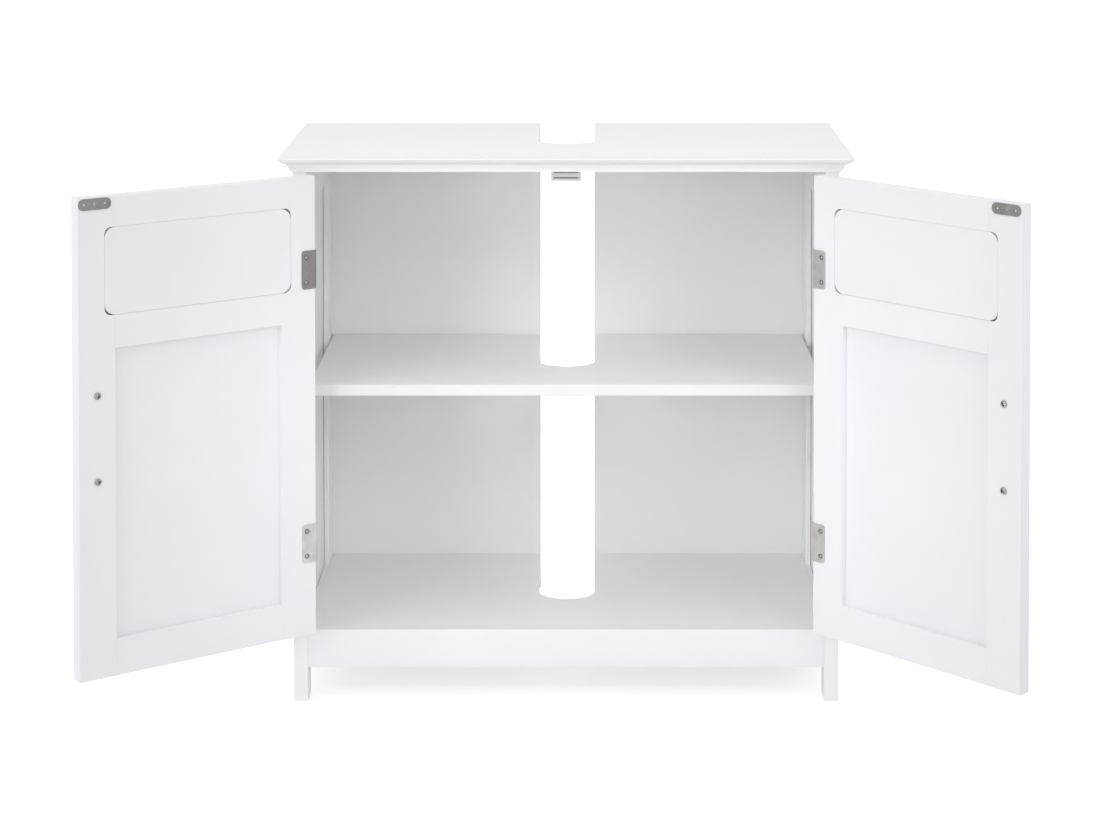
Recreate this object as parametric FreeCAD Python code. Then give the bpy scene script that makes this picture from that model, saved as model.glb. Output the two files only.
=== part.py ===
import FreeCAD, Part
import math
import os

os.makedirs("parts", exist_ok=True)

# Free-standing two-door washbasin cabinet with a pipe slot at the back, doors standing open.
# Millimetres. X is the width, Y runs towards the wall and Z is up. The origin lies on the floor,
# on the centre line, in the plane of the top board's back edge.

# Whole cabinet
top_width = 600.0
top_depth = 300.0
cabinet_height = 572.0
top_thickness = 15.0
side_overhang = 15.0
front_overhang = 15.0

# Moulded front and side edges of the top board
arris_bevel = 0.8
nose_reach = 7.4
nose_height = 6.3
nose_bulge = 0.65
quirk_width = 0.8
cove_reach = 4.2
cove_hollow = 0.4
cove_fillet = 1.4

# Side frames: two posts, two rails and a thin panel each
post_width = 15.0
front_post_depth = 30.0
rear_post_depth = 45.0
leg_height = 36.0
top_rail_height = 45.0
bottom_rail_height = 40.0
side_panel_thickness = 6.0
groove_depth = 4.0

# Boards
apron_thickness = 15.0
floor_thickness = 12.0
shelf_thickness = 12.0
shelf_top_height = 330.0
shelf_side_gap = 1.0
shelf_front_gap = 2.0
shelf_back_gap = 1.0
back_panel_thickness = 6.0
back_reveal = 3.0
back_panel_inset = 1.0
pipe_slot_width = 62.0
pipe_slot_depth = 180.0

# Eased edges and fits
board_bevel = 0.7
glue_gap = 0.1
groove_bottom_gap = 0.4
panel_seam = 0.4
screw_gap = 0.1

# Doors
left_door_open = 144.2
right_door_open = 133.5
door_thickness = 15.0
door_side_gap = 2.4
door_middle_gap = 2.0
door_top_gap = 2.0
door_bottom_gap = 2.0
stile_width = 40.0
door_bottom_rail_height = 37.0
door_middle_rail_height = 44.5
door_top_rail_height = 42.0
upper_opening_height = 64.5
panel_front_recess = 6.0
lower_panel_thickness = 3.0
insert_lap = 11.0
insert_corner_round = 11.0
rebate_corner_round = 8.0
insert_gap = 0.4

# Wrap-round hinges
hinge_length = 40.0
upper_hinge_below_door_top = 96.5
lower_hinge_above_door_bottom = 95.5
leaf_thickness = 1.0
frame_leaf_width = 23.0
door_leaf_width = 16.3
leaf_corner_round = 3.0
barrel_radius = 2.5
barrel_standoff = 2.9
barrel_sides = 16
knuckle_count = 5
knuckle_gap = 0.3
knuckle_swing_gap = 0.3
pin_radius = 1.25
pin_running_gap = 0.05
pin_head_radius = 2.2
pin_head_height = 1.4
pin_crown_radius = 1.2
hinge_screw_setback = 11.0
hinge_screw_spacing = 25.8

# Wood screws: countersunk in the metal plates, round-headed elsewhere
screw_sides = 8
screw_tip_radius = 0.4
plate_screw_head_radius = 2.8
plate_screw_radius = 1.4
plate_screw_length = 12.0
pan_head_bevel = 0.8

# Strike plates on the doors
strike_length = 35.0
strike_height = 11.3
strike_thickness = 1.0
strike_edge_gap = 0.8
strike_corner_round = 5.5
strike_pip_spacing = 22.0
strike_pip_radius = 1.5

# Double magnetic catch
catch_width = 31.0
catch_depth = 14.0
catch_height = 12.4
catch_wall = 2.4
catch_edge_bevel = 1.5
catch_ear_reach = 5.7
catch_ear_thickness = 2.2
catch_ear_depth = 10.0
catch_ear_round = 3.0
catch_strike_gap = 0.3
pole_stand_proud = 0.5
pole_thickness = 1.2
magnet_thickness = 4.6
magnet_setback = 0.6
catch_screw_head_radius = 2.4
catch_screw_head_height = 1.6
catch_screw_radius = 1.3
catch_screw_length = 11.0

# Bow handles
handle_spacing = 85.0
handle_from_lock_edge = 20.3
handle_projection = 18.0
handle_bar_thickness = 7.0
handle_bar_width = 10.0
handle_inner_bend = 3.0
handle_screw_head_radius = 3.6
handle_screw_head_height = 2.4
handle_screw_radius = 2.0
handle_screw_sides = 12
handle_screw_grip = 8.0

# Shelf supports: pins with a ledge
support_pin_radius = 2.5
support_pin_sides = 12
support_pin_depth = 9.0
support_ledge = 8.0
support_width = 9.0
support_leg = 8.0
support_plate = 2.0
support_pin_drop = 3.5
support_front_setback = 23.0
support_rear_setback = 22.5
spare_hole_drop = 59.5

# Hidden dowels between the boards
dowel_radius = 3.0
dowel_sides = 8
dowel_half_length = 10.0
dowel_end_setback = 30.0
floor_dowel_height = 4.5

# Back panel screws
panel_screw_head_radius = 3.0
panel_screw_head_height = 1.6
panel_screw_radius = 1.4
panel_screw_length = 18.0
panel_screw_end_setback = 30.0
panel_floor_screw_setback = 60.0

# Places worked out from the sizes above
half_top = top_width / 2
moulding_reach = nose_reach + quirk_width + cove_reach
post_outer = half_top - side_overhang
post_inner = post_outer - post_width
post_middle_x = (post_outer + post_inner) / 2
front_face = -top_depth + front_overhang
panel_back = -back_reveal
panel_front = panel_back - back_panel_thickness
front_post_back = front_face + front_post_depth
rear_post_front = panel_front - rear_post_depth
top_underside = cabinet_height - top_thickness
top_rail_underside = top_underside - top_rail_height
floor_top = leg_height + bottom_rail_height
floor_underside = floor_top - floor_thickness
floor_middle_z = (floor_top + floor_underside) / 2
apron_back = front_face + apron_thickness
closed_door_back = front_face + door_thickness
shelf_underside = shelf_top_height - shelf_thickness
shelf_front = closed_door_back + shelf_front_gap
slot_half = pipe_slot_width / 2

side_panel_inner = post_middle_x - side_panel_thickness / 2
side_panel_outer = post_middle_x + side_panel_thickness / 2
groove_inner = side_panel_inner - panel_seam
tongue_length = groove_depth - groove_bottom_gap

door_edge_x = post_inner - door_side_gap
door_width = door_edge_x - door_middle_gap / 2
door_bottom = floor_top + door_bottom_gap
door_top = top_underside - door_top_gap
upper_opening_top = door_top - door_top_rail_height
upper_opening_bottom = upper_opening_top - upper_opening_height
lower_opening_top = upper_opening_bottom - door_middle_rail_height
lower_opening_bottom = door_bottom + door_bottom_rail_height
lower_panel_back = panel_front_recess + lower_panel_thickness

pivot_x = post_inner - door_side_gap / 2
pivot_y = front_face - barrel_standoff
hinge_heights = (
    door_bottom + lower_hinge_above_door_bottom,
    door_top - upper_hinge_below_door_top,
)
hinge_screw_offsets = (-hinge_screw_spacing / 2, hinge_screw_spacing / 2)
knuckle_length = hinge_length / knuckle_count

strike_centre_s = door_width - strike_edge_gap - strike_length / 2
strike_centre_z = door_top - strike_edge_gap - strike_height / 2

catch_front = closed_door_back + strike_thickness + catch_strike_gap + pole_stand_proud
catch_back = catch_front + catch_depth
catch_middle_y = (catch_front + catch_back) / 2
catch_middle_z = top_underside - catch_height / 2
pole_outer = magnet_thickness / 2 + pole_thickness
catch_screw_x = catch_width / 2 + catch_ear_reach / 2

handle_x = door_edge_x - door_width + handle_from_lock_edge
handle_middle_z = (door_bottom + door_top) / 2
handle_screw_heights = (
    handle_middle_z - handle_spacing / 2,
    handle_middle_z + handle_spacing / 2,
)

support_height = shelf_underside - support_pin_drop
support_places = (
    front_face + support_front_setback,
    panel_front - support_rear_setback,
)
pin_hole_heights = (support_height, support_height - spare_hole_drop)

dowel_places = (front_post_back + dowel_end_setback, rear_post_front - dowel_end_setback)
floor_dowel_z = floor_underside + floor_dowel_height
apron_dowel_y = front_face + apron_thickness / 2
apron_dowel_z = (leg_height + floor_underside) / 2

panel_screw_places = (
    (post_middle_x, leg_height + panel_screw_end_setback),
    (post_middle_x, (leg_height + top_underside) / 2),
    (post_middle_x, top_underside - panel_screw_end_setback),
    (slot_half + panel_floor_screw_setback, floor_middle_z),
    (post_inner - panel_floor_screw_setback, floor_middle_z),
)

overshoot = 1.0
near_enough = 0.001
up = FreeCAD.Vector(0, 0, 1)
down = FreeCAD.Vector(0, 0, -1)
right = FreeCAD.Vector(1, 0, 0)
left = FreeCAD.Vector(-1, 0, 0)
backward = FreeCAD.Vector(0, 1, 0)
forward = FreeCAD.Vector(0, -1, 0)


def point(x, y, z):
    return FreeCAD.Vector(x, y, z)


def block(x0, x1, y0, y1, z0, z1):
    corner = point(min(x0, x1), min(y0, y1), min(z0, z1))
    return Part.makeBox(abs(x1 - x0), abs(y1 - y0), abs(z1 - z0), corner)


def flat_face(corners):
    return Part.Face(Part.makePolygon(corners + [corners[0]]))


def edges_along(shape, direction):
    chosen = []
    for edge in shape.Edges:
        if edge.Curve.TypeId != "Part::GeomLine":
            continue
        run = edge.tangentAt(edge.FirstParameter)
        if abs(abs(run.dot(direction)) - 1) < near_enough:
            chosen.append(edge)
    return chosen


def edges_at(shape, direction, place, way):
    # The edges that run along one direction and lie at one place along another.
    chosen = []
    for edge in edges_along(shape, direction):
        if abs(edge.CenterOfMass.dot(way) - place) < near_enough:
            chosen.append(edge)
    return chosen


def rounded(shape, direction, radius):
    return shape.makeFillet(radius, edges_along(shape, direction))


def eased(shape, direction, size=board_bevel):
    return shape.makeChamfer(size, edges_along(shape, direction))


def mirrored(shape):
    return shape.mirror(point(0, 0, 0), right)


def on_side(shape, side):
    # Everything is drawn for the right-hand side, and the left-hand side is its mirror image.
    return shape if side == "right" else mirrored(shape)


def cut_all(shape, tools):
    return shape.cut(Part.makeCompound(tools)) if tools else shape


def group(solids):
    return Part.makeCompound(solids)


def save(name, shape):
    shape.exportStep("parts/" + name + ".step")


def turned(outline, sides, base, direction):
    # A turned form in flat facets, from (distance along, radius) points, with flat ends.
    placement = FreeCAD.Placement(base, FreeCAD.Rotation(up, direction))
    rings = []
    for along, radius in outline:
        ring = []
        for index in range(sides):
            angle = 2 * math.pi * index / sides
            corner = point(radius * math.cos(angle), radius * math.sin(angle), along)
            ring.append(placement.multVec(corner))
        rings.append(ring)
    faces = [flat_face(rings[0]), flat_face(rings[-1])]
    for lower, upper in zip(rings, rings[1:]):
        for index in range(sides):
            after = (index + 1) % sides
            faces.append(flat_face([lower[index], lower[after], upper[after], upper[index]]))
    shell = Part.Shell(faces)
    shell.sewShape()
    solid = Part.Solid(shell)
    if solid.Volume < 0:
        solid.reverse()
    return solid


def prism(radius, sides, length, base, direction):
    return turned([(0, radius), (length, radius)], sides, base, direction)


def countersunk_screw(base, direction):
    outline = [
        (0, plate_screw_head_radius),
        (leaf_thickness, plate_screw_radius),
        (plate_screw_length, screw_tip_radius),
    ]
    return turned(outline, screw_sides, base, direction)


def countersunk_hole(base, direction):
    # The cone belongs to the metal plate and the straight hole to the wood under it.
    slope = (plate_screw_head_radius - plate_screw_radius) / leaf_thickness
    bore = plate_screw_radius + screw_gap
    outline = [
        (-overshoot, plate_screw_head_radius + screw_gap + slope * overshoot),
        (leaf_thickness, bore),
        (plate_screw_length + screw_gap, bore),
    ]
    return turned(outline, screw_sides, base, direction)


def pan_screw(head_radius, head_height, radius, tip_radius, length, sides, base, direction):
    # Its head stands on the surface at its base, and its shank runs on from there.
    outline = [
        (-head_height, head_radius - pan_head_bevel),
        (pan_head_bevel - head_height, head_radius),
        (0, head_radius),
        (0, radius),
        (length, tip_radius),
    ]
    return turned(outline, sides, base, direction)


def hole(radius, sides, length, base, direction):
    start = base - direction * overshoot
    return prism(radius + screw_gap, sides, length + overshoot + screw_gap, start, direction)


# Top board


def bowed(start, end, bulge, outward):
    # A shallow arc between two points, bulging to one side of the line that joins them.
    along = (end - start).normalize()
    side = (outward - along * outward.dot(along)).normalize()
    return Part.Arc(start, (start + end) / 2 + side * bulge, end).toShape()


def edge_moulding(tip, inward):
    # From the top face round a raking nose, a quirk and a steep cove to the underside.

    def place(reach, drop):
        return tip + inward * reach + down * drop

    start = place(arris_bevel, 0)
    nose_top = place(0, arris_bevel)
    nose_end = place(nose_reach, nose_height)
    cove_top = place(nose_reach + quirk_width, nose_height)
    cove_end = place(moulding_reach, top_thickness - cove_fillet)
    return [
        Part.makeLine(start, nose_top),
        bowed(nose_top, nose_end, nose_bulge, down),
        Part.makeLine(nose_end, cove_top),
        bowed(cove_top, cove_end, cove_hollow, inward),
        Part.makeLine(cove_end, place(moulding_reach, top_thickness)),
    ]


def pipe_slot(z0, z1):
    # A U open at the back, for the waste pipe and the basin's pedestal.
    centre_y = -pipe_slot_depth + slot_half
    mouth_right = point(slot_half, overshoot, z0)
    turn_right = point(slot_half, centre_y, z0)
    deepest = point(0, -pipe_slot_depth, z0)
    turn_left = point(-slot_half, centre_y, z0)
    mouth_left = point(-slot_half, overshoot, z0)
    edges = [
        Part.makeLine(mouth_right, turn_right),
        Part.Arc(turn_right, deepest, turn_left).toShape(),
        Part.makeLine(turn_left, mouth_left),
        Part.makeLine(mouth_left, mouth_right),
    ]
    return Part.Face(Part.Wire(edges)).extrude(up * (z1 - z0))


def slotted(board, z0, z1):
    return board.cut(pipe_slot(z0 - overshoot, z1 + overshoot))


def top_board():
    left_tip = point(-half_top, -top_depth, cabinet_height)
    right_tip = point(half_top, -top_depth, cabinet_height)

    front_edges = edge_moulding(left_tip, backward)
    front_top = point(-half_top, -top_depth + arris_bevel, cabinet_height)
    front_bottom = point(-half_top, -top_depth + moulding_reach, top_underside)
    back_top = point(-half_top, 0, cabinet_height)
    back_bottom = point(-half_top, 0, top_underside)
    front_edges.append(Part.makeLine(front_bottom, back_bottom))
    front_edges.append(Part.makeLine(back_bottom, back_top))
    front_edges.append(Part.makeLine(back_top, front_top))
    lengthwise = Part.Face(Part.Wire(front_edges)).extrude(right * top_width)

    side_edges = edge_moulding(left_tip, right)
    side_edges += edge_moulding(right_tip, left)
    side_edges.append(
        Part.makeLine(left_tip + right * arris_bevel, right_tip + left * arris_bevel)
    )
    drop = down * top_thickness
    side_edges.append(
        Part.makeLine(
            left_tip + right * moulding_reach + drop, right_tip + left * moulding_reach + drop
        )
    )
    section = Part.Wire(Part.__sortEdges__(side_edges))
    crosswise = Part.Face(section).extrude(backward * top_depth)

    board = slotted(lengthwise.common(crosswise), top_underside, cabinet_height)
    tools = [dowel_hole(base, up) for base in top_dowel_bases()]
    for x in (-catch_screw_x, catch_screw_x):
        base = point(x, catch_middle_y, top_underside)
        tools.append(hole(catch_screw_radius, screw_sides, catch_screw_length, base, up))
    return cut_all(board, tools)


# Side frames


def post(y0, y1, groove_from, groove_to):
    body = eased(block(post_inner, post_outer, y0, y1, 0, top_underside), up)
    groove = block(
        groove_inner, side_panel_outer, groove_from, groove_to, leg_height, top_underside
    )
    return body.cut(groove)


def support_holes(y):
    holes = []
    for z in pin_hole_heights:
        base = point(post_inner, y, z)
        holes.append(
            hole(support_pin_radius, support_pin_sides, support_pin_depth, base, right)
        )
    return holes


def front_post():
    body = post(
        front_face, front_post_back, front_post_back - groove_depth, front_post_back + overshoot
    )
    tools = support_holes(support_places[0])
    tools += frame_leaf_fixings(countersunk_hole)
    tools.append(dowel_hole(apron_dowel_base(), right))
    return cut_all(body, tools)


def rear_post():
    body = post(
        rear_post_front, panel_front, rear_post_front - overshoot, rear_post_front + groove_depth
    )
    return cut_all(body, support_holes(support_places[1]) + panel_screw_holes())


def rail(z0, z1, groove_from, groove_to):
    # A side rail with a tongue on each end and a groove for the side panel.
    body = block(post_inner, post_outer, front_post_back, rear_post_front, z0, z1)
    body = eased(body, backward)
    tongue = block(
        side_panel_inner + glue_gap,
        side_panel_outer - glue_gap,
        front_post_back - tongue_length,
        rear_post_front + tongue_length,
        z0,
        z1,
    )
    groove = block(
        groove_inner,
        side_panel_outer,
        front_post_back - groove_depth,
        rear_post_front + groove_depth,
        groove_from,
        groove_to,
    )
    return body.fuse(tongue).cut(groove).removeSplitter()


def top_rail():
    body = rail(
        top_rail_underside,
        top_underside,
        top_rail_underside - overshoot,
        top_rail_underside + groove_depth,
    )
    bases = [base for base in top_dowel_bases() if base.x > 0]
    return cut_all(body, [dowel_hole(base, down) for base in bases])


def bottom_rail():
    body = rail(leg_height, floor_top, floor_top - groove_depth, floor_top + overshoot)
    return cut_all(body, [dowel_hole(base, right) for base in floor_dowel_bases()])


def side_panel():
    return block(
        side_panel_inner + glue_gap,
        side_panel_outer - glue_gap,
        front_post_back - tongue_length,
        rear_post_front + tongue_length,
        floor_top - tongue_length,
        top_rail_underside + tongue_length,
    )


# Boards


def floor_board():
    board = block(-post_inner, post_inner, apron_back, panel_front, floor_underside, floor_top)
    board = slotted(board, floor_underside, floor_top)
    holes = [dowel_hole(base, left) for base in floor_dowel_bases()]
    holes += panel_screw_holes()
    return cut_all(board, holes + [mirrored(tool) for tool in holes])


def front_apron():
    board = block(-post_inner, post_inner, front_face, apron_back, leg_height, floor_top)
    tool = dowel_hole(apron_dowel_base(), left)
    return cut_all(eased(board, right), [tool, mirrored(tool)])


def shelf():
    edge_x = post_inner - shelf_side_gap
    back = panel_front - shelf_back_gap
    board = block(-edge_x, edge_x, shelf_front, back, shelf_underside, shelf_top_height)
    return slotted(eased(board, right), shelf_underside, shelf_top_height)


def back_panel():
    edge_x = post_outer - back_panel_inset
    board = block(slot_half, edge_x, panel_front, panel_back, leg_height, top_underside)
    return cut_all(board, panel_screw_holes())


def panel_screw_holes():
    holes = []
    for x, z in panel_screw_places:
        base = point(x, panel_back, z)
        holes.append(hole(panel_screw_radius, screw_sides, panel_screw_length, base, forward))
    return holes


def back_panel_screws():
    screws = []
    for x, z in panel_screw_places:
        screws.append(
            pan_screw(
                panel_screw_head_radius,
                panel_screw_head_height,
                panel_screw_radius,
                screw_tip_radius,
                panel_screw_length,
                screw_sides,
                point(x, panel_back, z),
                forward,
            )
        )
    return group(screws + [mirrored(screw) for screw in screws])


# Hidden dowels


def dowel_hole(base, direction):
    return hole(dowel_radius, dowel_sides, dowel_half_length, base, direction)


def top_dowel_bases():
    bases = []
    for y in dowel_places:
        bases.append(point(post_middle_x, y, top_underside))
        bases.append(point(-post_middle_x, y, top_underside))
    return bases


def floor_dowel_bases():
    return [point(post_inner, y, floor_dowel_z) for y in dowel_places]


def apron_dowel_base():
    return point(post_inner, apron_dowel_y, apron_dowel_z)


def dowel(base, direction):
    start = base - direction * dowel_half_length
    return prism(dowel_radius, dowel_sides, 2 * dowel_half_length, start, direction)


def locating_dowels():
    level = [dowel(base, right) for base in floor_dowel_bases() + [apron_dowel_base()]]
    upright = [dowel(base, up) for base in top_dowel_bases()]
    return group(upright + level + [mirrored(peg) for peg in level])


# Shelf supports


def support(y):
    # A small angle whose ledge carries the shelf, on a pin pushed into the post.
    inner = post_inner - support_ledge
    near = y - support_width / 2
    section = flat_face(
        [
            point(post_inner, near, shelf_underside),
            point(inner, near, shelf_underside),
            point(inner, near, shelf_underside - support_plate),
            point(post_inner - support_plate, near, shelf_underside - support_leg),
            point(post_inner, near, shelf_underside - support_leg),
        ]
    )
    bracket = section.extrude(backward * support_width)
    root = point(post_inner - support_plate, y, support_height)
    length = support_plate + support_pin_depth
    pin = prism(support_pin_radius, support_pin_sides, length, root, right)
    return bracket.fuse(pin).removeSplitter()


def shelf_supports():
    supports = [support(y) for y in support_places]
    return group(supports + [mirrored(one) for one in supports])


# Magnetic catch


def catch_housing():
    half = catch_width / 2
    bottom = top_underside - catch_height
    body = block(-half, half, catch_front, catch_back, bottom, top_underside)
    body = eased(body, backward, catch_edge_bevel)
    ear = half + catch_ear_reach
    ear_front = catch_middle_y - catch_ear_depth / 2
    ear_back = catch_middle_y + catch_ear_depth / 2
    ear_bottom = top_underside - catch_ear_thickness
    ears = rounded(
        block(-ear, ear, ear_front, ear_back, ear_bottom, top_underside), up, catch_ear_round
    )
    # A pocket for the magnet, closed by a thin web that leaves one slit for each pole plate.
    inner = half - catch_wall
    outer_z = pole_outer + glue_gap
    inner_z = magnet_thickness / 2 - glue_gap
    web_back = catch_front + magnet_setback - glue_gap
    pocket = block(
        -inner,
        inner,
        web_back,
        catch_back - catch_wall,
        catch_middle_z - outer_z,
        catch_middle_z + outer_z,
    )
    slit_front = catch_front - overshoot
    slit_back = web_back + overshoot
    upper_slit = block(
        -inner, inner, slit_front, slit_back, catch_middle_z + inner_z, catch_middle_z + outer_z
    )
    lower_slit = block(
        -inner, inner, slit_front, slit_back, catch_middle_z - inner_z, catch_middle_z - outer_z
    )
    tools = [pocket, upper_slit, lower_slit]
    for x in (-catch_screw_x, catch_screw_x):
        base = point(x, catch_middle_y, ear_bottom)
        tools.append(hole(catch_screw_radius, screw_sides, catch_screw_length, base, up))
    return cut_all(body.fuse(ears).removeSplitter(), tools)


def catch_core(front, z0, z1):
    half = catch_width / 2 - catch_wall - glue_gap
    return block(-half, half, front, catch_back - catch_wall - glue_gap, z0, z1)


def catch_magnet():
    half = magnet_thickness / 2
    return catch_core(catch_front + magnet_setback, catch_middle_z - half, catch_middle_z + half)


def catch_pole_plates():
    half = magnet_thickness / 2
    front = catch_front - pole_stand_proud
    lower = catch_core(front, catch_middle_z - pole_outer, catch_middle_z - half)
    upper = catch_core(front, catch_middle_z + half, catch_middle_z + pole_outer)
    return group([lower, upper])


def catch_screws():
    screws = []
    for x in (-catch_screw_x, catch_screw_x):
        screws.append(
            pan_screw(
                catch_screw_head_radius,
                catch_screw_head_height,
                catch_screw_radius,
                screw_tip_radius,
                catch_screw_length,
                screw_sides,
                point(x, catch_middle_y, top_underside - catch_ear_thickness),
                up,
            )
        )
    return group(screws)


# Hinges, drawn for the right-hand door standing closed


def knuckle_tools(z, first):
    # Tubes for every second knuckle from the first, and the notches that clear the others.
    tubes = []
    notches = []
    clear = barrel_radius + knuckle_swing_gap
    for index in range(knuckle_count):
        start = z - hinge_length / 2 + index * knuckle_length
        if index % 2 == first:
            base = point(pivot_x, pivot_y, start + knuckle_gap / 2)
            length = knuckle_length - knuckle_gap
            tubes.append(prism(barrel_radius, barrel_sides, length, base, up))
        else:
            notches.append(
                block(
                    pivot_x - clear,
                    pivot_x + clear,
                    pivot_y - clear,
                    pivot_y + clear,
                    start - knuckle_gap / 2,
                    start + knuckle_length + knuckle_gap / 2,
                )
            )
    return tubes, notches


def pin_bore(z):
    # The flats of the bore keep the running gap from the corners of the pin.
    radius = (pin_radius + pin_running_gap) / math.cos(math.pi / barrel_sides)
    base = point(pivot_x, pivot_y, z - hinge_length / 2 - overshoot)
    return prism(radius, barrel_sides, hinge_length + 2 * overshoot, base, up)


def rounded_at(plate, direction, place, way):
    return plate.makeFillet(leaf_corner_round, edges_at(plate, direction, place, way))


def frame_leaf_fixings(form):
    made = []
    for z in hinge_heights:
        for offset in hinge_screw_offsets:
            y = front_face + hinge_screw_setback
            made.append(form(point(post_inner - leaf_thickness, y, z + offset), right))
    return made


def door_leaf_fixings(form):
    made = []
    for z in hinge_heights:
        for offset in hinge_screw_offsets:
            x = door_edge_x - hinge_screw_setback
            y = closed_door_back + leaf_thickness
            made.append(form(point(x, y, z + offset), forward))
    return made


def frame_leaf(z):
    # Flat on the post's inner face, with its knuckles at the post's front corner.
    far_y = front_face + frame_leaf_width
    z0 = z - hinge_length / 2
    z1 = z + hinge_length / 2
    plate = block(post_inner - leaf_thickness, post_inner, pivot_y, far_y, z0, z1)
    plate = rounded_at(plate, right, far_y, backward)
    tubes, notches = knuckle_tools(z, 0)
    leaf = cut_all(plate, notches).fuse(tubes).cut(pin_bore(z))
    return cut_all(leaf, frame_leaf_fixings(countersunk_hole)).removeSplitter()


def door_leaf(z):
    # Back along the door's edge and then wrapped on to its inner face.
    z0 = z - hinge_length / 2
    z1 = z + hinge_length / 2
    back = closed_door_back + leaf_thickness
    near_x = door_edge_x + leaf_thickness
    far_x = door_edge_x - door_leaf_width
    edge_plate = block(door_edge_x, near_x, pivot_y, back, z0, z1)
    face_plate = block(far_x, near_x, closed_door_back, back, z0, z1)
    face_plate = rounded_at(face_plate, backward, far_x, right)
    tubes, notches = knuckle_tools(z, 1)
    leaf = cut_all(edge_plate, notches).fuse(tubes + [face_plate]).cut(pin_bore(z))
    return cut_all(leaf, door_leaf_fixings(countersunk_hole)).removeSplitter()


def hinge_pin(z):
    # A round pin, held in the frame leaf's knuckles by a domed head at each end.
    seat = hinge_length / 2
    foot = point(pivot_x, pivot_y, z - seat)
    crown = point(pivot_x, pivot_y, z + seat)
    shank = Part.makeCylinder(pin_radius, hinge_length, foot, up)
    dome = [(0, pin_head_radius), (pin_head_height, pin_crown_radius)]
    heads = [turned(dome, barrel_sides, foot, down), turned(dome, barrel_sides, crown, up)]
    return shank.fuse(heads).removeSplitter()


# Doors, drawn for the right-hand door standing closed


def door_block(s0, s1, n0, n1, z0, z1):
    # s runs from the hinge edge to the lock edge, and n from the outer face to the inner.
    return block(door_edge_x - s0, door_edge_x - s1, front_face + n0, front_face + n1, z0, z1)


def insert_form(margin, corner_round, n0, n1):
    body = door_block(
        stile_width - insert_lap - margin,
        door_width - stile_width + insert_lap + margin,
        n0,
        n1,
        upper_opening_bottom - insert_lap - margin,
        upper_opening_top + insert_lap + margin,
    )
    return rounded(body, backward, corner_round)


def insert_rebate():
    return insert_form(
        insert_gap, rebate_corner_round, panel_front_recess, door_thickness + overshoot
    )


def lower_panel_form(n_gap, reach):
    return door_block(
        stile_width - reach,
        door_width - stile_width + reach,
        panel_front_recess + n_gap,
        lower_panel_back - n_gap,
        lower_opening_bottom - reach,
        lower_opening_top + reach,
    )


def panel_spaces():
    return [insert_rebate(), lower_panel_form(0, groove_depth)]


def stile(s0, s1, outer_s):
    # Only its outer edges are eased, so that the rails meet it flush.
    body = door_block(s0, s1, 0, door_thickness, door_bottom, door_top)
    outer_edges = edges_at(body, up, door_edge_x - outer_s, right)
    return cut_all(body.makeChamfer(board_bevel, outer_edges), panel_spaces())


def hinge_stile():
    return cut_all(stile(0, stile_width, 0), door_leaf_fixings(countersunk_hole))


def lock_stile():
    tools = [strike_fixing(countersunk_hole)]
    for z in handle_screw_heights:
        base = point(handle_x, closed_door_back, z)
        tools.append(
            hole(
                handle_screw_radius,
                handle_screw_sides,
                door_thickness + overshoot,
                base,
                forward,
            )
        )
    return cut_all(stile(door_width - stile_width, door_width, door_width), tools)


def door_rail(z0, z1):
    body = door_block(stile_width, door_width - stile_width, 0, door_thickness, z0, z1)
    return cut_all(eased(body, right), panel_spaces())


def door_top_rail():
    return door_rail(upper_opening_top, door_top)


def door_middle_rail():
    return door_rail(lower_opening_top, upper_opening_bottom)


def door_bottom_rail():
    return door_rail(door_bottom, lower_opening_bottom)


def upper_panel():
    return insert_form(0, insert_corner_round, panel_front_recess, door_thickness)


def lower_panel():
    return lower_panel_form(glue_gap, groove_depth - groove_bottom_gap)


def strike_fixing(form):
    x = door_edge_x - strike_centre_s
    return form(point(x, closed_door_back + strike_thickness, strike_centre_z), forward)


def strike_screw():
    return strike_fixing(countersunk_screw)


def strike_plate():
    body = door_block(
        strike_centre_s - strike_length / 2,
        strike_centre_s + strike_length / 2,
        door_thickness,
        door_thickness + strike_thickness,
        strike_centre_z - strike_height / 2,
        strike_centre_z + strike_height / 2,
    )
    tools = [strike_fixing(countersunk_hole)]
    for offset in (-strike_pip_spacing / 2, strike_pip_spacing / 2):
        x = door_edge_x - strike_centre_s + offset
        base = point(x, closed_door_back + strike_thickness, strike_centre_z)
        tools.append(
            hole(strike_pip_radius, screw_sides, strike_thickness + overshoot, base, forward)
        )
    return cut_all(rounded(body, backward, strike_corner_round), tools)


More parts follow.
